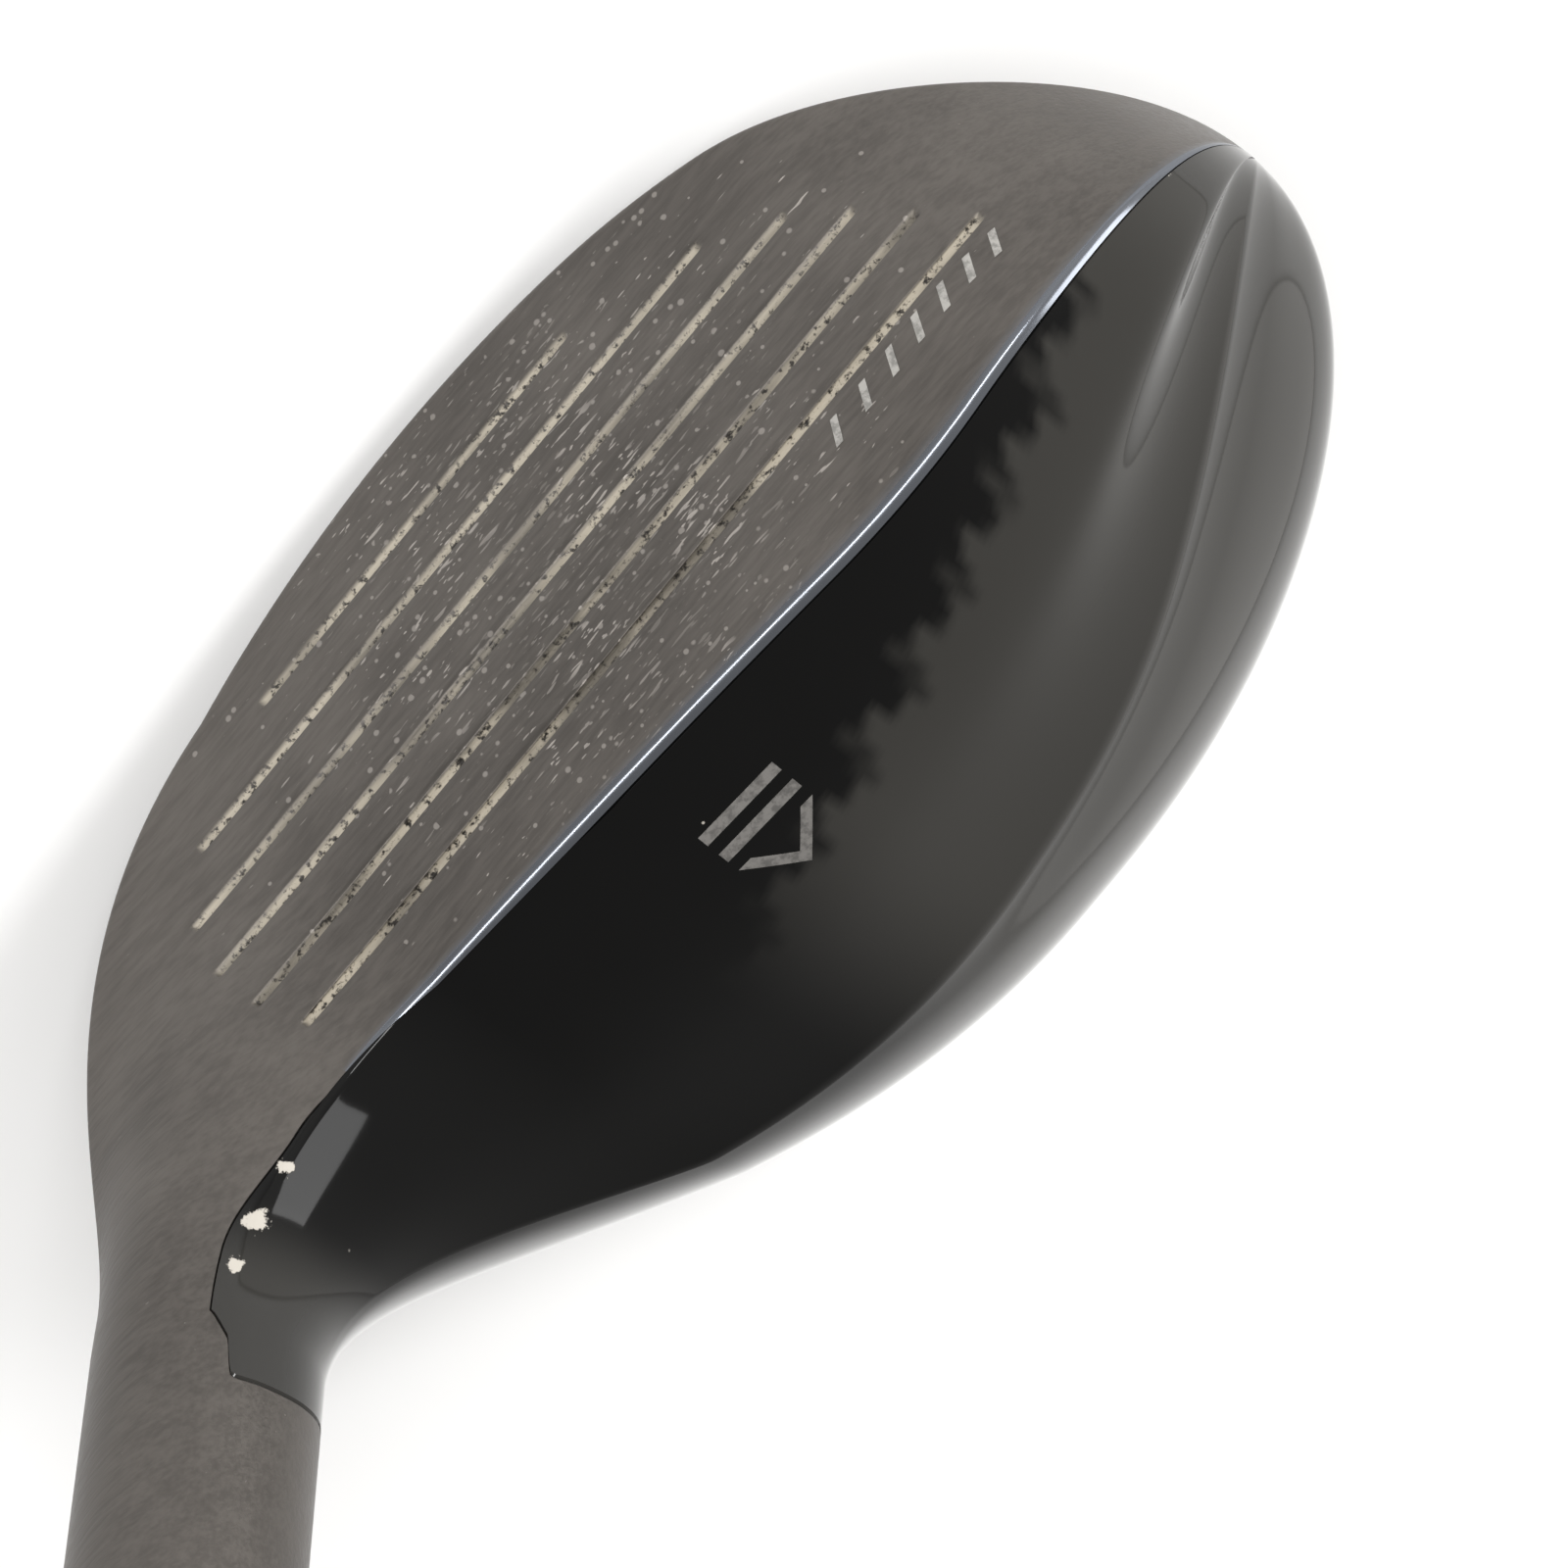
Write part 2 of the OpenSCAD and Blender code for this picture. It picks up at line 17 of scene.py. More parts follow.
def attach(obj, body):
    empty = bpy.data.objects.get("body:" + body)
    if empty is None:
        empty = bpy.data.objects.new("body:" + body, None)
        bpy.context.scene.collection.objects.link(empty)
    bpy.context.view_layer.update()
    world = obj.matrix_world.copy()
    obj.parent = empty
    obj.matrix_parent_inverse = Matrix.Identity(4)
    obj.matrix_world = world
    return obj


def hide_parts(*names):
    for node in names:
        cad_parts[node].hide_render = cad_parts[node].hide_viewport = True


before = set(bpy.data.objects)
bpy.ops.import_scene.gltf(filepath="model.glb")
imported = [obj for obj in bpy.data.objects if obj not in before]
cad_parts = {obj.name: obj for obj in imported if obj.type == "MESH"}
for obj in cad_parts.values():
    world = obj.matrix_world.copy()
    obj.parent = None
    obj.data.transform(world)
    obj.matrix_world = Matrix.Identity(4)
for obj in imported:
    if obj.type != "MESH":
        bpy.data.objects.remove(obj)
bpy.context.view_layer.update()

LOG = logging.getLogger("hybrid_club")
MM = 0.001
Array = np.ndarray
Loop = list[tuple[float, float]]


class Split(Enum):
    """How a shell is cut from the head's surface."""

    FACE = "face"
    CROWN = "crown"
    CASTING = "casting"


def mix(a: Array | float, b: Array | float, share: Array | float) -> Array:
    """Goes from a to b as share goes from 0 to 1."""
    return a + (b - a) * share


def ease(t: Array | float) -> Array:
    """Smooth step of a share between 0 and 1."""
    return t * t * (3 - 2 * t)


def cubic(a: Array, b: Array, c: Array, d: Array, t: Array) -> Array:
    """Point at t on the cubic curve with the control values a, b, c and d."""
    return (1 - t) ** 3 * a + 3 * (1 - t) ** 2 * t * b + 3 * (1 - t) * t * t * c + t**3 * d


# ---------------------------------------------------------------- places


@dataclass(frozen=True)
class Axis:
    """A line that turned pieces stand on, given in millimetres."""

    base: tuple[float, float, float]
    tilt_about_x: float = 0.0
    tilt_about_y: float = 0.0

    def turn(self) -> Matrix:
        """Rotation that carries the local z axis onto the line."""
        return (
            Matrix.Rotation(math.radians(self.tilt_about_y), 4, "Y")
            @ Matrix.Rotation(math.radians(self.tilt_about_x), 4, "X")
        )

    def at(self, height: float) -> Matrix:
        """Frame on the line, height millimetres from its base."""
        turn = self.turn()
        place = Vector(self.base) + height * (turn @ Vector((0, 0, 1)))
        return Matrix.Translation(place * MM) @ turn @ Matrix.Scale(MM, 4)


# ---------------------------------------------------------------- meshes


def new_piece(name: str, points: Array, faces: Sequence[Sequence[int]], sharp: float = 32.0) -> bpy.types.Object:
    """Makes a smooth-shaded mesh piece.

    Args:
        name: the piece's name.
        points: its points in metres, one row each.
        faces: the points of each face.
        sharp: angle in degrees above which an edge stays sharp.

    Returns:
        The new object, linked to the scene.
    """
    mesh = bpy.data.meshes.new(name)
    mesh.from_pydata([tuple(p) for p in points], [], [tuple(f) for f in faces])
    mesh.update()
    work = bmesh.new()
    work.from_mesh(mesh)
    bmesh.ops.remove_doubles(work, verts=work.verts, dist=1e-7)
    bmesh.ops.recalc_face_normals(work, faces=work.faces)
    work.to_mesh(mesh)
    work.free()
    mesh.shade_smooth()
    mesh.set_sharp_from_angle(angle=math.radians(sharp))
    piece = bpy.data.objects.new(name, mesh)
    bpy.context.scene.collection.objects.link(piece)
    return piece


def add_mask(piece: bpy.types.Object, name: str, value: Callable[[Array], Array]) -> None:
    """Stores a value from 0 to 1 at each point of a mesh.

    Args:
        piece: the mesh piece.
        name: the attribute's name.
        value: gives the values from the points, in millimetres.
    """
    mesh = piece.data
    points = np.zeros(len(mesh.vertices) * 3)
    mesh.vertices.foreach_get("co", points)
    layer = mesh.attributes.new(name, "FLOAT", "POINT")
    layer.data.foreach_set("value", value(points.reshape(-1, 3) / MM).astype(np.float32))


def rounded(loop: Loop, radius: float, steps: int = 4, keep: Sequence[int] = ()) -> Loop:
    """Rounds the corners of a closed outline.

    Args:
        loop: corners as (radius, height).
        radius: size of the rounding.
        steps: points put in for each corner.
        keep: corners that stay sharp.

    Returns:
        The new outline.
    """
    out: Loop = []
    count = len(loop)
    for i, corner in enumerate(loop):
        here = np.array(corner, float)
        before, after = np.array(loop[i - 1], float), np.array(loop[(i + 1) % count], float)
        reach = [np.linalg.norm(before - here), np.linalg.norm(after - here)]
        if i in keep or min(reach) < 1e-6 or here[0] < 1e-6:
            out.append((float(here[0]), float(here[1])))
            continue
        cut = min(radius, 0.45 * min(reach))
        a, b = here + (before - here) / reach[0] * cut, here + (after - here) / reach[1] * cut
        for t in np.linspace(0, 1, steps):
            p = (1 - t) ** 2 * a + 2 * (1 - t) * t * here + t * t * b
            out.append((float(p[0]), float(p[1])))
    return out


def turned(
    name: str,
    loop: Loop,
    place: Matrix,
    segments: int = 96,
    shape: Callable[[Array, Array, Array], Array] | None = None,
    closed: bool = True,
    sharp: float = 32.0,
) -> bpy.types.Object:
    """Turns an outline about an axis into a closed solid.

    Args:
        name: the piece's name.
        loop: outline as (radius, height) in millimetres.
        place: frame of the axis.
        segments: steps round the axis.
        shape: gives the radius from the row number, the angle and the plain radius.
        closed: whether the last corner joins the first.
        sharp: angle above which an edge stays sharp.

    Returns:
        The new piece.
    """
    outline = np.array(loop, float)
    rows = len(outline)
    angle = np.linspace(0, 2 * np.pi, segments, endpoint=False)
    radius = np.repeat(outline[:, :1], segments, axis=1)
    if shape is not None:
        radius = shape(np.arange(rows)[:, None], angle[None, :], radius)
    points = np.stack(
        [radius * np.cos(angle), radius * np.sin(angle), np.repeat(outline[:, 1:], segments, axis=1)], -1
    ).reshape(-1, 3)
    faces = []
    for i in range(rows if closed else rows - 1):
        low, high = i * segments, ((i + 1) % rows) * segments
        for j in range(segments):
            k = (j + 1) % segments
            faces.append((low + j, low + k, high + k, high + j))
    world = np.array(place)
    moved = points @ world[:3, :3].T + world[:3, 3]
    return new_piece(name, moved, faces, sharp)


def cut(piece: bpy.types.Object, tool: bpy.types.Object) -> None:
    """Cuts one mesh out of another and removes the tool.

    Args:
        piece: the mesh that is cut.
        tool: the mesh that is taken away.
    """
    modifier = piece.modifiers.new("cut", "BOOLEAN")
    modifier.operation = "DIFFERENCE"
    modifier.solver = "EXACT"
    modifier.object = tool
    bpy.context.view_layer.update()
    solid = piece.evaluated_get(bpy.context.evaluated_depsgraph_get())
    mesh = bpy.data.meshes.new_from_object(solid)
    piece.modifiers.clear()
    old = piece.data
    piece.data = mesh
    mesh.name = old.name
    bpy.data.meshes.remove(old)
    bpy.data.objects.remove(tool)
    piece.data.set_sharp_from_angle(angle=math.radians(32))


def rod(place: Matrix, radius: float, length: float, segments: int = 96) -> bpy.types.Object:
    """Round cutting tool that starts at the frame's origin."""
    return turned("tool", [(0, 0), (radius, 0), (radius, length), (0, length)], place, segments, closed=False)


# ---------------------------------------------------------------- head form


@dataclass(frozen=True)
class HeadForm:
    """The head's outer surface, in millimetres.

    A point is named by its station s, from the toe (0) over the neck (18 to 28) to the hosel's mouth (32),
    and by its place v round the section: face 0 to 7, lip to 9, crown to 18, skirt to 23, back to 29, sole to 34.
    """

    loft: float = 23.5
    lie: float = 61.0
    toe: tuple[float, float, float] = (-51.0, 10.5, 16.25)
    face_lead: float = 20.0
    lead_height: float = 2.85
    face_height: float = 33.4
    topline_slope: float = 0.078
    back: tuple[float, float] = (36.5, 18.5)
    heel_curve: float = 50.0
    camber: float = 115.0
    bulge: float = 700.0
    roll: float = 300.0
    roll_centre: float = 20.0
    wall: float = 1.8
    spans: tuple[float, float, float, float] = (23.5, 38.0, 34.0, 43.0)
    deepest: float = -5.0
    crown_angle: float = 14.0
    crown_full: float = 0.654
    lip: float = 0.8
    flat: float = 0.15
    neck_x: float = 22.4
    neck_z: float = 55.3
    carry: float = 0.5
    hosel_x: float = 27.2
    hosel_lead: float = 5.75
    hosel_radius: float = 7.3
    mouth: float = 65.0
    body_end: float = 18.0
    neck_end: float = 28.0
    mouth_end: float = 32.0
    around: float = 34.0

    def narrowing(self, x: Array, end: float, span: float) -> Array:
        """Share of the full size at station x, falling to 0 at the toe."""
        inside = np.clip((end + span - x) / span, 0, 1)
        return np.sqrt(np.clip(1 - inside**2, 0, None))

    def face_y(self, x: Array, z: Array) -> Array:
        """Depth of the lofted, bulged and rolled face at x and z."""
        lean = math.tan(math.radians(self.loft))
        return -self.face_lead + z * lean + x * x / (2 * self.bulge) + (z - self.roll_centre) ** 2 / (2 * self.roll)

    def section(self, x: Array, v: Array, w: float) -> tuple[Array, Array]:
        """One upright section of the head.

        Args:
            x: station in millimetres.
            v: place round the section.
            w: depth under the outer skin.

        Returns:
            The y and z of each point.
        """
        end = self.toe[0] + w
        toe_y, toe_z = self.toe[1:]
        front, top_span, sole_span, back_span = self.spans
        k_front = self.narrowing(x, end, front - w)
        k_top = self.narrowing(x, end, top_span - w)
        k_sole = self.narrowing(x, end, sole_span - w)
        k_back = self.narrowing(x, end, back_span - w)
        sole_z = x * x / (2 * self.camber) - self.flat + w
        crest = self.face_height - self.topline_slope * (x + 12) - w
        back = self.back[0] - w - np.clip(x - self.deepest, 0, None) ** 2 / (2 * self.heel_curve)
        lean = math.radians(self.loft)
        crown = math.radians(self.crown_angle)

        def skin(z: Array) -> Array:
            """Depth of the face's skin at height z."""
            return mix(toe_y, self.face_y(x, z) + w / math.cos(lean), k_front)

        top_z = mix(toe_z, crest, k_top)
        lead_z = mix(toe_z, sole_z + self.lead_height, k_sole)
        low_y, low_z = mix(toe_y, 0.0, k_back), mix(toe_z, sole_z, k_sole)
        rear_y, rear_z = mix(toe_y, back, k_back), mix(toe_z, self.back[1], k_back)
        edge = self.lip * np.minimum(1, k_top)
        lead_y, top_y = skin(lead_z), skin(top_z)
        lip_z = top_z - 0.6 * edge
        lip_y = skin(lip_z)
        inner_y, inner_z = top_y + 0.9 * edge, top_z + 0.15 * edge
        deep, tall = rear_y - top_y, rear_z - top_z
        share_y = 0.73 + 0.17 * x / 50 - 0.18 * (x / 50) ** 2
        share_z = 0.78 + 0.05 * x / 50
        turn_y, turn_z = top_y + share_y * deep, rear_z - share_z * tall
        to_back, under = rear_y - turn_y, rear_z - low_z
        face_z = mix(lead_z, lip_z, v / 7)
        runs_y = [
            skin(face_z),
            cubic(lip_y, lip_y + 0.15 * edge, inner_y - 0.5 * edge * math.cos(crown), inner_y, (v - 7) / 2),
            cubic(inner_y, inner_y + 0.35 * deep * math.cos(crown), turn_y - 0.32 * deep, turn_y, (v - 9) / 9),
            cubic(turn_y, turn_y + 0.35 * to_back, rear_y, rear_y, (v - 18) / 5),
            cubic(rear_y, rear_y, low_y + 0.5 * (rear_y - low_y), low_y, (v - 23) / 6),
        ]
        drop = 0.096 * deep * np.minimum(1, -tall / 20)
        rise = 0.35 * deep * math.sin(crown) * self.crown_full
        runs_z = [
            face_z,
            cubic(lip_z, lip_z + 0.45 * edge, inner_z - 0.5 * edge * math.sin(crown), inner_z, (v - 7) / 2),
            cubic(inner_z, inner_z + rise, turn_z + drop, turn_z, (v - 9) / 9),
            cubic(turn_z, turn_z - 0.21 * to_back, rear_z + 0.55 * (turn_z - rear_z), rear_z, (v - 18) / 5),
            cubic(rear_z, rear_z - 0.55 * under, low_z + 1.8 * k_sole, low_z, (v - 23) / 6),
        ]
        sole = (v - 29) / 5
        lift = 0.75 * (lead_z - low_z)
        last_y = cubic(low_y, low_y - 0.55 * (low_y - lead_y), lead_y - math.sin(lean) * lift, lead_y, sole)
        last_z = cubic(low_z, low_z, lead_z - math.cos(lean) * lift, lead_z, sole)
        where = [v < 7, v < 9, v < 18, v < 23, v < 29]
        return np.select(where, runs_y, last_y), np.select(where, runs_z, last_z)

    def skin(self, s: Array, v: Array, w: float = 0.0) -> Array:
        """Points of the whole head, w under its outer skin.

        Args:
            s: stations.
            v: places round the section.
            w: depth under the outer skin.

        Returns:
            The points, in millimetres, with x, y and z last.
        """
        s, v = np.broadcast_arrays(np.asarray(s, float), np.mod(np.asarray(v, float), self.around))
        lie = math.radians(self.lie)
        x = self.toe[0] + w + (self.neck_x - self.toe[0] - w) * np.clip(s / self.body_end, 0, 1) ** 1.7
        y, z = self.section(x, v, w)
        ring_y, ring_z = self.section(np.float64(self.neck_x), np.arange(self.around), w)
        low, high = (ring_y.min(), ring_z.min()), (ring_y.max(), ring_z.max())
        base_y, base_z = self.section(np.float64(self.neck_x), v, w)
        before_y, before_z = self.section(np.float64(self.neck_x - 0.5), v, w)
        angle = np.arctan2(
            (base_y - (low[0] + high[0]) / 2) / (high[0] - low[0]),
            ((low[1] + high[1]) / 2 - base_z) / (high[1] - low[1]),
        )
        reach = self.neck_z * math.cos(lie) - (self.neck_x - self.hosel_x) * math.sin(lie)
        radius = self.hosel_radius - w
        f = np.clip((s - self.body_end) / (self.neck_end - self.body_end), 0, 1)
        depth = ease((high[1] - base_z) / (high[1] - low[1]))
        k = mix(ease(f) ** 0.68, ease(np.minimum(1, f / 0.92)), depth)
        r = mix(self.neck_z - base_z, reach + radius * np.cos(angle), k)
        run = self.carry * (self.neck_z - base_z) * np.sin(lie * f) * (1 - f) ** 6 / 0.5
        start = (self.neck_x - self.hosel_x) * math.cos(lie) + self.neck_z * math.sin(lie)
        up = np.clip((s - self.neck_end) / (self.mouth_end - self.neck_end), 0, None) * (self.mouth - start)
        fan = [
            self.neck_x + r * np.sin(lie * f) + up * math.cos(lie),
            mix(base_y, -self.hosel_lead + radius * np.sin(angle), k) + (base_y - before_y) * run,
            self.neck_z - r * np.cos(lie * f) + up * math.sin(lie) + (base_z - before_z) * run,
        ]
        body = s <= self.body_end
        return np.stack([np.where(body, x, fan[0]), np.where(body, y, fan[1]), np.where(body, z, fan[2])], -1)

    def hosel(self) -> Axis:
        """The hosel's axis, which starts on the ground."""
        return Axis((self.hosel_x, -self.hosel_lead, 0.0), tilt_about_y=90 - self.lie)

    def crown_edge(self, s: Array) -> Array:
        """Place v of the seam between face or neck and crown, at station s."""
        onto_neck = ease(np.clip((s - 15.5) / 7.5, 0, 1))
        return 9.0 - 2.1 * onto_neck - 0.75 * ease(np.clip((s - 23.0) / 4.0, 0, 1))

    def neck_seam(self, v: Array) -> Array:
        """Station s of the crown's end on the neck, at place v."""
        corner = np.clip((v - 6.15) / 3.4, 0, 1)
        return 27.9 + 1.03 * (1 - (1 - corner) ** 2.0) - 0.2 * np.clip((v - 11) / 7, 0, 1) ** 2


# ---------------------------------------------------------------- shells of the head


@dataclass(frozen=True)
class Lattice:
    """Stations and places that the head's shells are laid out on, with lines along both seams."""

    form: HeadForm
    body_rows: int = 96
    neck_rows: int = 60
    hosel_rows: int = 16
    seam_gap: float = 0.035
    seam_depth: float = 0.16
    face_end: float = 21.0

    def lines(self, start: float, stop: float, count: int, close_start: bool, close_stop: bool) -> Array:
        """Even steps from start to stop, with an extra line close to an end that is a seam."""
        inner = np.linspace(0, 1, count + 1)
        gap = self.seam_gap / max(1e-6, abs(stop - start))
        extra = ([gap] if close_start else []) + ([1 - gap] if close_stop else [])
        return mix(start, stop, np.unique(np.concatenate([inner, extra])))

    def across(self) -> tuple[Array, Array, int, int]:
        """Shares that place the columns.

        Returns:
            The nominal places, what share of the seam's shift each takes, and the seam's two columns.
        """
        face = self.lines(0.0, 9.0, 26, False, True)
        crown = self.lines(9.0, 23.0, 84, True, True)
        rest = self.lines(23.0, self.form.around, 66, True, False)
        places = np.concatenate([face, crown[1:], rest[1:-1]])
        shift = np.where(places <= 9.0, ease(places / 9.0), ease(np.clip((14.0 - places) / 5.0, 0, 1)))
        return places, shift, len(face) - 1, len(face) + len(crown) - 2

    def stations(self) -> tuple[Array, int, int]:
        """Nominal stations with the rows of the face's end and of the crown's end."""
        rows = np.linspace(0.0, self.form.body_end, self.body_rows + 1)[1:]
        start = np.array([0.0, 0.03, 0.08])
        face = self.lines(self.form.body_end, self.face_end, 18, False, True)
        neck = self.lines(self.face_end, 28.9, self.neck_rows, True, True)
        hosel = self.lines(28.9, self.form.mouth_end, self.hosel_rows, True, False)
        body = np.concatenate([start, rows[rows > 0.1]])
        stations = np.concatenate([body, face[1:], neck[1:], hosel[1:]])
        return stations, len(body) + len(face) - 2, len(body) + len(face) + len(neck) - 3

    def points(self) -> tuple[Array, Array, int, int, int, int]:
        """Stations and places of every lattice point.

        Returns:
            Stations, places, the face's last row, the crown's last row, and the crown's first and last columns.
        """
        places, shift, first, last = self.across()
        stations, face_row, crown_row = self.stations()
        s = np.repeat(stations[:, None], len(places), axis=1)
        v = places[None, :] + (self.form.crown_edge(stations)[:, None] - 9.0) * shift[None, :]
        top = self.form.neck_seam(v)
        inside = np.clip((s - self.face_end) / (28.9 - self.face_end), 0, 1)
        beyond = np.clip((s - 28.9) / (self.form.mouth_end - 28.9), 0, 1)
        on_crown = (v > 5.0) & (v < 30.0)
        seam = np.where(on_crown, top, 28.9)
        blend = ease(np.clip((v - 2.0) / 4.15, 0, 1)) * ease(np.clip((33.0 - v) / 8.0, 0, 1))
        seam = mix(28.9, np.where(v < 6.15, 27.9, seam), blend)
        warped = np.where(
            s <= self.face_end,
            s,
            np.where(s <= 28.9, mix(self.face_end, seam, inside), mix(seam, self.form.mouth_end, beyond)),
        )
        return warped, v, face_row, crown_row, first, last


def shell(name: str, outer: Array, inner: Array, cells: Array, wrap: bool) -> bpy.types.Object:
    """Closes two skins into one solid wall.

    Args:
        name: the piece's name.
        outer: outer points, rows by columns.
        inner: inner points of the same shape.
        cells: which cells belong to the piece.
        wrap: whether the last column joins the first.

    Returns:
        The new piece.
    """
    rows, cols = outer.shape[:2]
    count = rows * cols
    columns = cols if wrap else cols - 1

    def has(i: int, j: int) -> bool:
        """Whether the cell is in the piece."""
        if wrap:
            j %= cols
        return 0 <= i < rows - 1 and 0 <= j < columns and bool(cells[i, j])

    faces: list[tuple[int, ...]] = []
    for i, j in zip(*np.nonzero(cells[: rows - 1, :columns])):
        k = (j + 1) % cols
        a, b, c, d = i * cols + j, (i + 1) * cols + j, (i + 1) * cols + k, i * cols + k
        faces += [(a, d, c, b), (a + count, b + count, c + count, d + count)]
        if not has(i, j - 1):
            faces.append((a, b, b + count, a + count))
        if not has(i, j + 1):
            faces.append((c, d, d + count, c + count))
        if i > 0 and not has(i - 1, j):
            faces.append((d, a, a + count, d + count))
        if not has(i + 1, j):
            faces.append((b, c, c + count, b + count))
    used = np.unique(np.array([p for f in faces for p in f]))
    renumber = np.full(2 * count, -1)
    renumber[used] = np.arange(len(used))
    points = np.concatenate([outer.reshape(-1, 3), inner.reshape(-1, 3)])[used] * MM
    return new_piece(name, points, [tuple(int(renumber[p]) for p in f) for f in faces], 40.0)


@dataclass(frozen=True)
class ScoreLines:
    """Grooves cut along the face, in millimetres."""

    count: int = 6
    first: float = 7.74
    pitch: float = 3.67
    short_half: float = 16.0
    long_half: float = 34.0
    width: float = 0.8
    depth: float = 0.4
    lean: float = 32.3
    profile: tuple[tuple[float, float], ...] = (
        (-1.0, 0.0), (-0.82, 0.12), (-0.66, 0.62), (-0.5, 0.94), (-0.2, 1.0),
        (0.2, 1.0), (0.5, 0.94), (0.66, 0.62), (0.82, 0.12), (1.0, 0.0),
    )  # fmt: skip

    def height(self, k: int) -> float:
        """Height of line k above the ground."""
        return self.first + k * self.pitch

    def across(self, y: Array, z: Array) -> Array:
        """Distance across the leaning planes that the lines are cut in."""
        lean = math.radians(self.lean)
        return y * math.cos(lean) + z * math.sin(lean)

    def ends(self, k: int) -> tuple[float, float]:
        """Toe end and heel end of line k."""
        half = self.long_half - (self.long_half - self.short_half) * 0.45**k
        middle = 2.5 - 0.22 * k * k
        return middle - half, middle + half

    def reach(self, k: int, x: Array) -> Array:
        """1 inside line k's length, falling to 0 at its ends."""
        low, high = self.ends(k)
        return ease(np.clip((x - low) / 0.5, 0, 1)) * ease(np.clip((high - x) / 0.5, 0, 1))


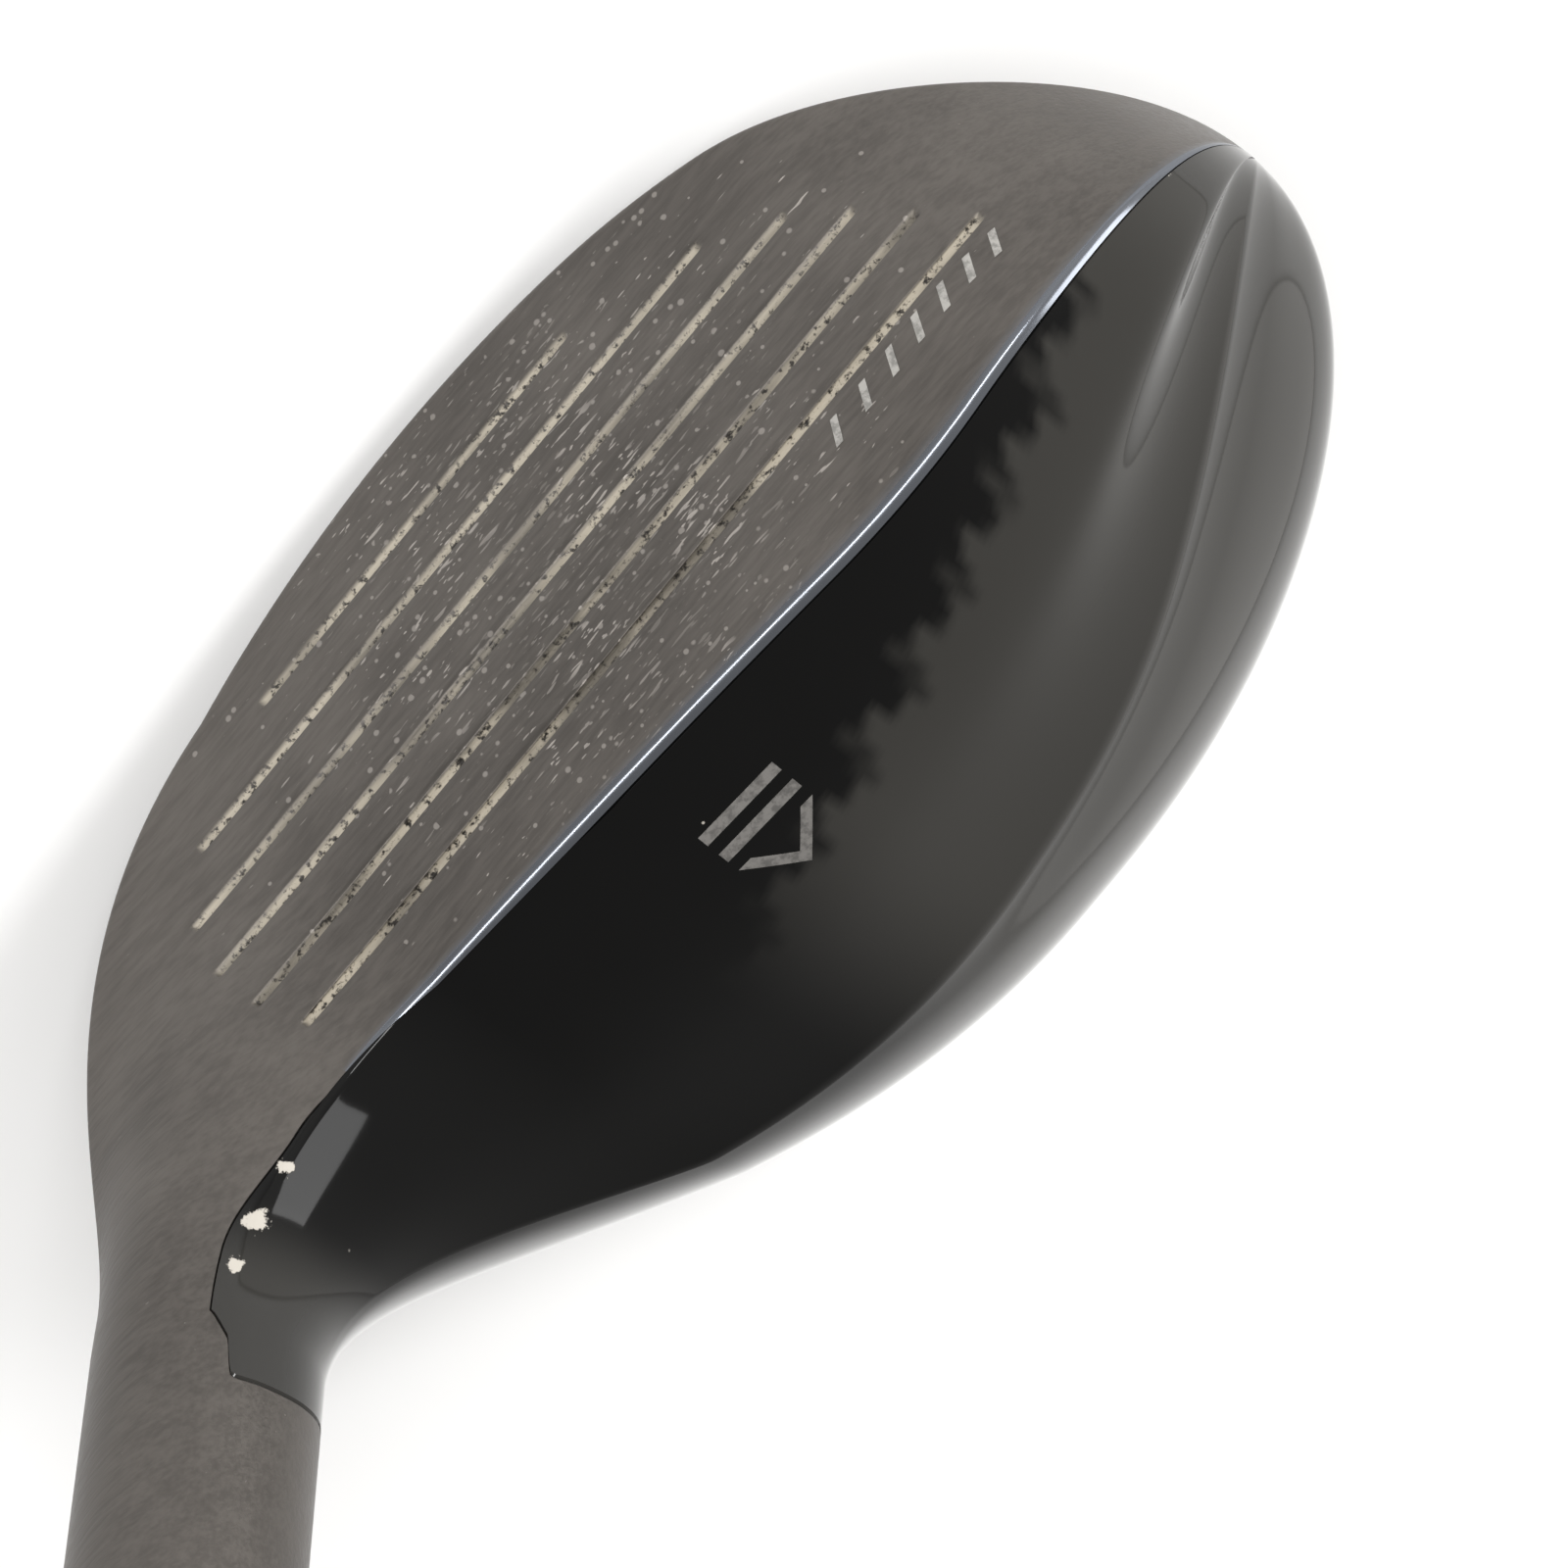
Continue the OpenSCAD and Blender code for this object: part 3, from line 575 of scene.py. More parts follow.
@dataclass
class Head:
    """The club head: casting, face cup and crown, with the marks on them."""

    form: HeadForm = field(default_factory=HeadForm)
    lines: ScoreLines = field(default_factory=ScoreLines)
    face_rows: int = 420
    port_radius: float = 6.3
    tube_clear: float = 6.3
    tube_from: float = 19.5
    seat_clear: float = 8.45
    weight_turn: float = -151.0
    weight_point: tuple[float, float, float] = (0.0, 27.0762, 6.9816)
    lug_width: float = 2.2
    lug_height: float = 1.6
    lug_clear: float = 0.15

    def weight_axis(self) -> Axis:
        """Axis of the rear weight, pointing out of the head."""
        return Axis(self.weight_point, tilt_about_x=self.weight_turn)

    def sunk_seam(self, outer: Array, inner: Array, edge: Array, depth: float) -> Array:
        """Sets the points along a seam a little below the skin."""
        down = inner - outer
        down /= np.maximum(1e-9, np.linalg.norm(down, axis=-1, keepdims=True))
        return outer + down * (edge * depth)[..., None]

    def build_shells(self) -> tuple[bpy.types.Object, bpy.types.Object]:
        """Builds the casting and the crown on one lattice.

        Returns:
            The casting and the crown.
        """
        lattice = Lattice(self.form)
        s, v, face_row, crown_row, first, last = lattice.points()
        outer, inner = self.form.skin(s, v), self.form.skin(s, v, self.form.wall)
        outer[..., 2] = np.maximum(outer[..., 2], 0.0)
        rows, cols = s.shape
        i, j = np.meshgrid(np.arange(rows), np.arange(cols), indexing="ij")
        cap = 2
        crown = (i >= cap) & (i < crown_row) & (j >= first) & (j < last)
        face = (i >= cap) & (i < face_row) & (j < first)
        casting = ~crown & ~face
        on_crown = ((j == first) | (j == last)) & (i <= crown_row) | (i == crown_row) & (j >= first) & (j <= last)
        edge = on_crown.astype(float)
        sunk = self.sunk_seam(outer, inner, edge, lattice.seam_depth)
        body = shell("head_casting", sunk, inner, casting, True)
        top = shell("crown", sunk, inner, crown, True)
        # Painted reflection: a ragged patch towards the toe, and a band where the crown meets the neck. There the
        # crown's black is turned to a dull olive and its coat raised, standing in for the room reflected in the gloss.
        x, y = outer[..., 0], outer[..., 1]
        along = (y - 1.0) * 0.963 - (x + 20.4) * 0.269
        rag = 1.1 * np.sin(0.9 * x + 0.4 * y) + 0.7 * np.sin(2.3 * x - 1.1 * y) + 0.4 * np.sin(5.1 * x)
        painted_reflection_share = ease(np.clip((along + rag + 0.5) / 2.2, 0, 1)) * (1 - ease(np.clip((x + 4.0) / 17.0, 0, 1)))
        neck = 0.8 * ease(np.clip((s - 24.5) / 2.5, 0, 1))
        self.store(top, outer, "painted_reflection_share", np.maximum(painted_reflection_share, neck))
        self.store(top, outer, "rear", ease(np.clip((v - 18.2) / 2.0, 0, 1)))
        return body, top

    def build_face(self) -> bpy.types.Object:
        """Builds the face cup with its score lines cut into it."""
        form, lines = self.form, self.lines
        stations = np.concatenate([[0.08], np.linspace(0.0, 1.0, self.face_rows) ** 0.62 * 20.96 + 0.0])
        stations = np.unique(np.concatenate([stations[stations > 0.3], [0.08, 0.12, 0.2, 20.965, 21.0]]))
        fine = np.linspace(0.0, 7.0, 281)
        table = form.skin(stations[:, None], fine[None, :])
        planes = lines.across(table[..., 1], table[..., 2])
        rows = len(stations)
        edges = form.crown_edge(stations)
        columns: list[Array] = []
        depth: list[Array] = []
        paint: list[Array] = []
        floor = np.zeros(rows)
        least, steps = 0.004, len(lines.profile)

        def level(z: float) -> Array:
            """Place v at which each row reaches height z."""
            plane = lines.across(form.face_y(np.float64(0), np.float64(z)), np.float64(z))
            return np.array([np.interp(plane, planes[i], fine) for i in range(rows)])

        previous = floor
        for k in range(lines.count):
            marks = [level(lines.height(k) + t * lines.width / 2) for t, _ in lines.profile]
            spread = least * (1 + k * (steps + 7))
            x = np.array([table[i, int(np.argmin(abs(table[i, :, 2] - lines.height(k)))), 0] for i in range(rows)])
            reach = lines.reach(k, x)
            marks = [np.clip(m, spread + least * n, 6.9 - least * ((lines.count - k) * 20 - n)) for n, m in enumerate(marks)]
            for n in range(7 if k == 0 else 6):
                share = n / (7 if k == 0 else 6)
                if k == 0 or n > 0:
                    columns.append(mix(previous, marks[0], share))
                    depth.append(np.zeros(rows))
                    paint.append(np.zeros(rows))
            for m, (_, sink) in zip(marks, lines.profile):
                columns.append(m)
                depth.append(reach * sink * lines.depth)
                paint.append(reach * min(1.0, sink * 1.6))
            previous = marks[-1]
        for share in np.linspace(0, 1, 14)[1:]:
            columns.append(mix(previous, np.full(rows, 7.0), share))
        lip = list(np.linspace(0, 1, 9)[1:])
        lip.insert(-1, 0.98)
        for share in lip:
            columns.append(mix(7.0, edges, share) if share else edges)
        v = np.stack(columns, 1)
        for _ in range(len(columns) - len(depth)):
            depth.append(np.zeros(rows))
            paint.append(np.zeros(rows))
        sink = np.stack(depth, 1)
        v = np.where(np.arange(v.shape[1])[None, :] == v.shape[1] - 1, edges[:, None], np.minimum(v, 9.0))
        s = np.repeat(stations[:, None], v.shape[1], axis=1)
        outer, inner = form.skin(s, v), form.skin(s, v, form.wall)
        seam = np.zeros(s.shape)
        seam[:, -1] = 1
        outer = self.sunk_seam(outer, inner, seam * 0.16 + sink, 1.0)
        cells = np.ones(s.shape, bool)
        piece = shell("face_cup_cut", outer, inner, cells, False)
        self.store(piece, outer, "paint", np.stack(paint, 1))
        self.store(piece, outer, "lip", ease(np.clip((v - 6.9) / 0.25, 0, 1)))
        return piece

    def store(self, piece: bpy.types.Object, grid: Array, name: str, values: Array) -> None:
        """Gives each mesh point the value of the nearest lattice point.

        Args:
            piece: the mesh piece.
            grid: lattice points in millimetres.
            name: the attribute's name.
            values: one value for each lattice point.
        """
        tree = KDTree(values.size)
        for k, point in enumerate(grid.reshape(-1, 3)):
            tree.insert(point, k)
        tree.balance()
        flat = values.ravel()
        add_mask(piece, name, lambda pts: np.array([flat[tree.find(p)[1]] for p in pts]))

    def cut_openings(self, casting: bpy.types.Object) -> None:
        """Cuts the wrench port, the tube's room, the weight's seat and the key notches."""
        hosel, weight = self.form.hosel(), self.weight_axis()
        cut(casting, rod(hosel.at(self.tube_from), self.tube_clear, self.form.mouth))
        cut(casting, rod(hosel.at(-4.0), self.port_radius, self.tube_from + 8.0))
        cut(casting, rod(weight.at(-12.0), self.seat_clear, 16.0))
        for k in range(2):
            place = hosel.at(self.form.mouth) @ Matrix.Rotation(math.radians(135 + 180 * k), 4, "Z")
            half = self.lug_width / 2 + self.lug_clear
            low, high = -self.lug_height - self.lug_clear, 3.0
            corners = [(5.2, -half), (8.6, -half), (8.6, half), (5.2, half)]
            points = [place @ Vector((x, y, z)) for z in (low, high) for x, y in corners]
            faces = [(0, 3, 2, 1), (4, 5, 6, 7), (0, 1, 5, 4), (1, 2, 6, 5), (2, 3, 7, 6), (3, 0, 4, 7)]
            cut(casting, new_piece("tool", np.array([tuple(p) for p in points]), faces))

    def build(self) -> list[bpy.types.Object]:
        """Builds the head's pieces and hides the CAD nodes they stand for."""
        casting, crown = self.build_shells()
        face = self.build_face()
        self.cut_openings(casting)
        cut(crown, rod(self.form.hosel().at(self.tube_from), self.tube_clear, self.form.mouth))
        for piece, node, slot in (
            (casting, "head_body", "satin_steel"),
            (face, "face_cup", "brushed_face"),
            (crown, "crown_shell", "gloss_crown"),
        ):
            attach(piece, "head")
            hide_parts(node)
        return [casting, face, crown]


# ---------------------------------------------------------------- shader groups


class Wires:
    """A short hand for placing nodes in one shader tree."""

    def __init__(self, tree: bpy.types.NodeTree) -> None:
        """Takes the tree that the nodes go into."""
        self.tree = tree

    def put(self, kind: str, **settings: object) -> bpy.types.Node:
        """Adds a node and sets its plain settings."""
        node = self.tree.nodes.new(kind)
        for name, value in settings.items():
            setattr(node, name, value)
        return node

    def feed(self, socket: bpy.types.NodeSocket, value: object) -> None:
        """Links a socket, or sets its value where a plain value is given."""
        if isinstance(value, bpy.types.NodeSocket):
            self.tree.links.new(value, socket)
        else:
            socket.default_value = value

    def math(self, operation: str, a: object, b: object = 0.0, c: object = 0.0, clamp: bool = False) -> bpy.types.NodeSocket:
        """One arithmetic step."""
        node = self.put("ShaderNodeMath", operation=operation, use_clamp=clamp)
        for socket, value in zip(node.inputs, (a, b, c)):
            self.feed(socket, value)
        return node.outputs[0]

    def vector(self, operation: str, a: object, b: object = (0.0, 0.0, 0.0)) -> bpy.types.NodeSocket:
        """One step of vector arithmetic."""
        node = self.put("ShaderNodeVectorMath", operation=operation)
        self.feed(node.inputs[0], a)
        self.feed(node.inputs[1], b)
        return node.outputs["Value" if operation in ("LENGTH", "DISTANCE", "DOT_PRODUCT") else "Vector"]

    def blend(self, share: object, a: object, b: object) -> bpy.types.NodeSocket:
        """Mixes two colours."""
        node = self.put("ShaderNodeMix", data_type="RGBA")
        for name, value in (("Factor", share), ("A", a), ("B", b)):
            socket = next(x for x in node.inputs if x.name == name and x.type == ("VALUE" if name == "Factor" else "RGBA"))
            self.feed(socket, value)
        return next(x for x in node.outputs if x.type == "RGBA")

    def span(self, value: object, low: object, high: object, to: tuple[float, float] = (0.0, 1.0)) -> bpy.types.NodeSocket:
        """Maps low..high smoothly onto a new range."""
        node = self.put("ShaderNodeMapRange", interpolation_type="SMOOTHSTEP")
        for name, v in (("Value", value), ("From Min", low), ("From Max", high), ("To Min", to[0]), ("To Max", to[1])):
            self.feed(node.inputs[name], v)
        return node.outputs["Result"]

    def noise(self, place: object, scale: object, detail: float = 2.0, rough: float = 0.5) -> bpy.types.NodeSocket:
        """Smooth noise at a place."""
        node = self.put("ShaderNodeTexNoise")
        self.feed(node.inputs["Vector"], place)
        self.feed(node.inputs["Scale"], scale)
        node.inputs["Detail"].default_value = detail
        node.inputs["Roughness"].default_value = rough
        return node.outputs["Fac"]

    def place(self) -> bpy.types.NodeSocket:
        """Position on the piece, in metres."""
        return self.put("ShaderNodeTexCoord").outputs["Object"]


@dataclass(frozen=True)
class Effect(ABC):
    """An effect that several materials share, kept as one shader node group."""

    name: str
    inputs: tuple[tuple[str, str, object], ...]
    outputs: tuple[tuple[str, str], ...]

    def group(self) -> bpy.types.NodeTree:
        """The node group, built the first time it is asked for."""
        if self.name in bpy.data.node_groups:
            return bpy.data.node_groups[self.name]
        tree = bpy.data.node_groups.new(self.name, "ShaderNodeTree")
        for name, kind, value in self.inputs:
            socket = tree.interface.new_socket(name, in_out="INPUT", socket_type=kind)
            socket.default_value = value
        for name, kind in self.outputs:
            tree.interface.new_socket(name, in_out="OUTPUT", socket_type=kind)
        wires = Wires(tree)
        given = tree.nodes.new("NodeGroupInput")
        result = tree.nodes.new("NodeGroupOutput")
        for name, socket in self.wire(wires, given).items():
            tree.links.new(socket, result.inputs[name])
        return tree

    @abstractmethod
    def wire(self, w: Wires, given: bpy.types.Node) -> dict[str, bpy.types.NodeSocket]:
        """Builds the inside of the group and returns what each output shows."""

    def use(self, w: Wires, **values: object) -> bpy.types.Node:
        """Places the group in a material with its own values.

        Args:
            w: the material's wires.
            values: inputs by name, with spaces written as underscores.

        Returns:
            The group node.
        """
        node = w.put("ShaderNodeGroup")
        node.node_tree = self.group()
        for name, value in values.items():
            w.feed(node.inputs[name.replace("_", " ")], value)
        return node


class Brushing(Effect):
    """Fine parallel grain, as left by a brush or a belt."""

    def wire(self, w: Wires, given: bpy.types.Node) -> dict[str, bpy.types.NodeSocket]:
        """Two layers of noise drawn out along the grain."""
        spot = w.vector("MULTIPLY", w.place(), given.outputs["Frequency"])
        fine = w.noise(spot, 1.0, 3.0, 0.6)
        coarse = w.noise(w.vector("MULTIPLY", spot, (0.31, 0.31, 0.31)), 1.0, 2.0)
        grain = w.math("ADD", w.math("MULTIPLY", fine, 0.6), w.math("MULTIPLY", coarse, 0.4))
        return {"Grain": w.span(grain, 0.32, 0.68)}


class Nicks(Effect):
    """Short bright scratches and specks in many directions."""

    def wire(self, w: Wires, given: bpy.types.Node) -> dict[str, bpy.types.NodeSocket]:
        """Stretched noise along three directions, cut off high, in patches."""
        place, amount = w.place(), given.outputs["Amount"]
        total: bpy.types.NodeSocket | None = None
        limit = w.math("SUBTRACT", 0.86, w.math("MULTIPLY", amount, 0.2))
        for turn, stretch, scale in ((0.35, (1.0, 6.0, 6.0), 900.0), (-0.9, (1.3, 7.0, 7.0), 700.0), (1.5, (2.0, 6.0, 6.0), 1100.0)):
            mapping = w.put("ShaderNodeMapping")
            w.feed(mapping.inputs["Vector"], place)
            mapping.inputs["Rotation"].default_value = (turn * 0.4, turn, turn * 0.3)
            mapping.inputs["Location"].default_value = (turn * 0.013, 0.002, turn * 0.007)
            mapping.inputs["Scale"].default_value = stretch
            line = w.noise(mapping.outputs["Vector"], scale * 0.55, 1.0)
            hit = w.span(line, limit, w.math("ADD", limit, 0.05))
            total = hit if total is None else w.math("MAXIMUM", total, hit)
        patch = w.span(w.noise(place, given.outputs["Patch Scale"], 2.0), 0.42, 0.62)
        return {"Mask": w.math("MULTIPLY", total, w.math("ADD", w.math("MULTIPLY", patch, 0.75), 0.25), clamp=True)}


class Specks(Effect):
    """Scattered round specks: dust, grit or small pits."""

    def wire(self, w: Wires, given: bpy.types.Node) -> dict[str, bpy.types.NodeSocket]:
        """Cells of which few hold a dot."""
        cells = w.put("ShaderNodeTexVoronoi")
        w.feed(cells.inputs["Vector"], w.place())
        w.feed(cells.inputs["Scale"], given.outputs["Scale"])
        split = w.put("ShaderNodeSeparateColor")
        w.feed(split.inputs["Color"], cells.outputs["Color"])
        chosen = w.math("LESS_THAN", split.outputs["Red"], given.outputs["Share"])
        size = w.math("MULTIPLY", given.outputs["Size"], w.math("ADD", split.outputs["Green"], 0.3))
        dot = w.math("SUBTRACT", 1.0, w.span(cells.outputs["Distance"], w.math("MULTIPLY", size, 0.6), size))
        return {"Mask": w.math("MULTIPLY", dot, chosen)}


class Chip(Effect):
    """An irregular patch of lost paint or a hard mark about one point."""

    def wire(self, w: Wires, given: bpy.types.Node) -> dict[str, bpy.types.NodeSocket]:
        """Distance from the point, roughened by noise."""
        place = w.place()
        away = w.vector("DISTANCE", place, given.outputs["Centre"])
        rough = w.noise(place, given.outputs["Scale"], 3.0, 0.65)
        ragged = w.math("ADD", w.math("DIVIDE", away, given.outputs["Radius"]), w.math("MULTIPLY", rough, given.outputs["Raggedness"]))
        return {"Mask": w.math("SUBTRACT", 1.0, w.span(ragged, 1.0, 1.12)), "Rim": w.math("SUBTRACT", 1.0, w.span(w.math("ABSOLUTE", w.math("SUBTRACT", ragged, 1.12)), 0.0, 0.14))}


class Clouding(Effect):
    """Slow change of tone over a surface, from handling and wear."""

    def wire(self, w: Wires, given: bpy.types.Node) -> dict[str, bpy.types.NodeSocket]:
        """One broad noise."""
        return {"Tone": w.span(w.noise(w.place(), given.outputs["Scale"], 3.0, 0.55), 0.3, 0.7)}


class Weave(Effect):
    """Crossed fibres under a clear coat."""

    def wire(self, w: Wires, given: bpy.types.Node) -> dict[str, bpy.types.NodeSocket]:
        """Two sets of slanting waves that pass over and under each other."""
        place = w.place()
        tows = []
        for slant in ((0.7, 0.7, 0.5), (-0.7, 0.7, -0.5)):
            along = w.math("MULTIPLY", w.vector("DOT_PRODUCT", place, slant), given.outputs["Frequency"])
            tows.append(w.math("SINE", along))
        over = w.math("MULTIPLY", tows[0], tows[1])
        return {"Pattern": w.math("ADD", w.math("MULTIPLY", over, 0.5), 0.5)}


FLOAT, VECTOR = "NodeSocketFloat", "NodeSocketVector"
BRUSHING = Brushing("brushed_grain", (("Frequency", VECTOR, (200.0, 4000.0, 4000.0)),), (("Grain", FLOAT),))
NICKS = Nicks("nicks", (("Amount", FLOAT, 0.5), ("Patch Scale", FLOAT, 60.0)), (("Mask", FLOAT),))
SPECKS = Specks("specks", (("Scale", FLOAT, 400.0), ("Share", FLOAT, 0.1), ("Size", FLOAT, 0.2)), (("Mask", FLOAT),))
CHIP = Chip(
    "lost_paint",
    (("Centre", VECTOR, (0.0, 0.0, 0.0)), ("Radius", FLOAT, 0.002), ("Scale", FLOAT, 900.0), ("Raggedness", FLOAT, 1.0)),
    (("Mask", FLOAT), ("Rim", FLOAT)),
)
CLOUDING = Clouding("clouding", (("Scale", FLOAT, 60.0),), (("Tone", FLOAT),))
WEAVE = Weave("weave", (("Frequency", FLOAT, 4000.0),), (("Pattern", FLOAT),))


# ---------------------------------------------------------------- finishes

Colour = tuple[float, float, float, float]


def grey(level: float, warm: float = 0.0) -> Colour:
    """A grey, made warmer or, below 0, cooler."""
    return (level * (1 + warm), level, level * (1 - warm), 1.0)


@dataclass(frozen=True)
class Finish(ABC):
    """A finish: builds one material from its own values."""

    name: str
    base: Colour
    rough: float = 0.4
    metal: float = 0.0
    coat: float = 0.0

    def material(self) -> bpy.types.Material:
        """The material, built the first time it is asked for."""
        name = f"{self.name}_finish"
        if name in bpy.data.materials:
            return bpy.data.materials[name]
        made = bpy.data.materials.new(name)
        made.use_nodes = True
        made.diffuse_color = self.base
        w = Wires(made.node_tree)
        shader = made.node_tree.nodes["Principled BSDF"]
        shader.inputs["Base Color"].default_value = self.base
        shader.inputs["Roughness"].default_value = self.rough
        shader.inputs["Metallic"].default_value = self.metal
        shader.inputs["Coat Weight"].default_value = self.coat
        shader.inputs["Coat Roughness"].default_value = 0.04
        self.dress(w, shader)
        return made

    @abstractmethod
    def dress(self, w: Wires, shader: bpy.types.Node) -> None:
        """Adds the finish's own detail."""

    def bump(self, w: Wires, shader: bpy.types.Node, height: bpy.types.NodeSocket, depth: float, strength: float = 1.0) -> None:
        """Raises the surface by a height map, depth in metres."""
        node = w.put("ShaderNodeBump")
        node.inputs["Strength"].default_value = strength
        node.inputs["Distance"].default_value = depth
        w.feed(node.inputs["Height"], height)
        w.feed(shader.inputs["Normal"], node.outputs["Normal"])

    def on(self, *pieces: bpy.types.Object) -> None:
        """Puts the finish on pieces."""
        for piece in pieces:
            piece.data.materials.clear()
            piece.data.materials.append(self.material())


@dataclass(frozen=True)
class WornSteel(Finish):
    """Satin steel with grain, nicks and a slow change of tone."""

    frequency: tuple[float, float, float] = (350.0, 3000.0, 3000.0)
    nicks: float = 0.4
    bright: Colour = grey(0.6)
    contrast: float = 0.25

    def dress(self, w: Wires, shader: bpy.types.Node) -> None:
        """Grain in the tone and the roughness, nicks on top."""
        grain = BRUSHING.use(w, Frequency=self.frequency).outputs["Grain"]
        tone = CLOUDING.use(w, Scale=45.0).outputs["Tone"]
        nick = NICKS.use(w, Amount=self.nicks).outputs["Mask"]
        dark = tuple(c * (1 - self.contrast) for c in self.base[:3]) + (1.0,)
        light = tuple(c * (1 + self.contrast) for c in self.base[:3]) + (1.0,)
        shade = w.math("ADD", w.math("MULTIPLY", grain, 0.5), w.math("MULTIPLY", tone, 0.5))
        w.feed(shader.inputs["Base Color"], w.blend(nick, w.blend(shade, dark, light), self.bright))
        level = w.math("ADD", self.rough - 0.05, w.math("MULTIPLY", grain, 0.1))
        w.feed(shader.inputs["Roughness"], w.math("SUBTRACT", level, w.math("MULTIPLY", nick, 0.1)))
        height = w.math("SUBTRACT", w.math("MULTIPLY", grain, 0.5), w.math("MULTIPLY", nick, 0.8))
        self.bump(w, shader, height, 0.00002)


@dataclass(frozen=True)
class FaceSteel(WornSteel):
    """The face: worn brushed steel, paint left in the score lines over painted shade, a polished lip with a painted
    reflection tint.
    """

    paint: Colour = (0.42, 0.38, 0.31, 1.0)
    # Colour of the polished lip; its faint blue tint is a painted reflection.
    lip: Colour = (0.14, 0.15, 0.17, 1.0)
    strike: tuple[float, float, float] = (-0.004, -0.012, 0.019)
    spread: float = 0.032

    def dress(self, w: Wires, shader: bpy.types.Node) -> None:
        """Wear gathers where the ball is struck."""
        place = w.place()
        grain = BRUSHING.use(w, Frequency=self.frequency).outputs["Grain"]
        tone = CLOUDING.use(w, Scale=55.0).outputs["Tone"]
        away = w.vector("DISTANCE", place, self.strike)
        hit = w.math("SUBTRACT", 1.0, w.span(away, 0.2 * self.spread, 1.15 * self.spread))
        amount = w.math("ADD", 0.25, w.math("MULTIPLY", hit, self.nicks))
        nick = NICKS.use(w, Amount=amount, Patch_Scale=150.0).outputs["Mask"]
        grit = SPECKS.use(w, Scale=1500.0, Share=w.math("MULTIPLY", hit, 0.22), Size=0.36).outputs["Mask"]
        scar = CHIP.use(w, Centre=(-0.0075, -0.0115, 0.0225), Radius=0.0016, Scale=1500.0, Raggedness=1.3).outputs["Rim"]
        marks = w.math("MAXIMUM", w.math("MAXIMUM", nick, w.math("MULTIPLY", grit, 0.6)), w.math("MULTIPLY", scar, 0.8))
        dark = tuple(c * (1 - self.contrast) for c in self.base[:3]) + (1.0,)
        light = tuple(c * (1 + self.contrast) for c in self.base[:3]) + (1.0,)
        shade = w.math("ADD", w.math("MULTIPLY", grain, 0.55), w.math("MULTIPLY", tone, 0.45))
        steel = w.blend(w.math("MULTIPLY", marks, 0.75), w.blend(shade, dark, light), self.bright)
        mask = w.put("ShaderNodeAttribute", attribute_name="paint").outputs["Fac"]
        flakes = w.span(w.noise(place, 1700.0, 3.0, 0.7), 0.36, 0.5)
        worn = w.span(w.noise(w.vector("MULTIPLY", place, (0.25, 1.0, 1.0)), 420.0, 2.0), 0.3, 0.62, (0.35, 1.0))
        filled = w.math("MULTIPLY", mask, w.math("MULTIPLY", flakes, worn))
        lip = w.put("ShaderNodeAttribute", attribute_name="lip").outputs["Fac"]
        # Painted shade: the score lines are darkened towards near-black along their cut.
        groove = w.blend(w.math("MULTIPLY", mask, 0.7), steel, grey(0.03, 0.05))
        colour = w.blend(lip, w.blend(filled, groove, self.paint), self.lip)
        w.feed(shader.inputs["Base Color"], colour)
        w.feed(shader.inputs["Metallic"], w.math("SUBTRACT", self.metal, w.math("MULTIPLY", filled, self.metal)))
        level = w.math("ADD", self.rough - 0.05, w.math("MULTIPLY", grain, 0.12))
        level = w.math("ADD", level, w.math("MULTIPLY", filled, 0.3))
        w.feed(shader.inputs["Roughness"], w.math("MULTIPLY", level, w.math("SUBTRACT", 1.0, w.math("MULTIPLY", lip, 0.6))))
        height = w.math("SUBTRACT", w.math("MULTIPLY", grain, 0.5), w.math("MULTIPLY", marks, 0.8))
        height = w.math("MULTIPLY", height, w.math("SUBTRACT", 1.0, lip))
        self.bump(w, shader, height, 0.00003)


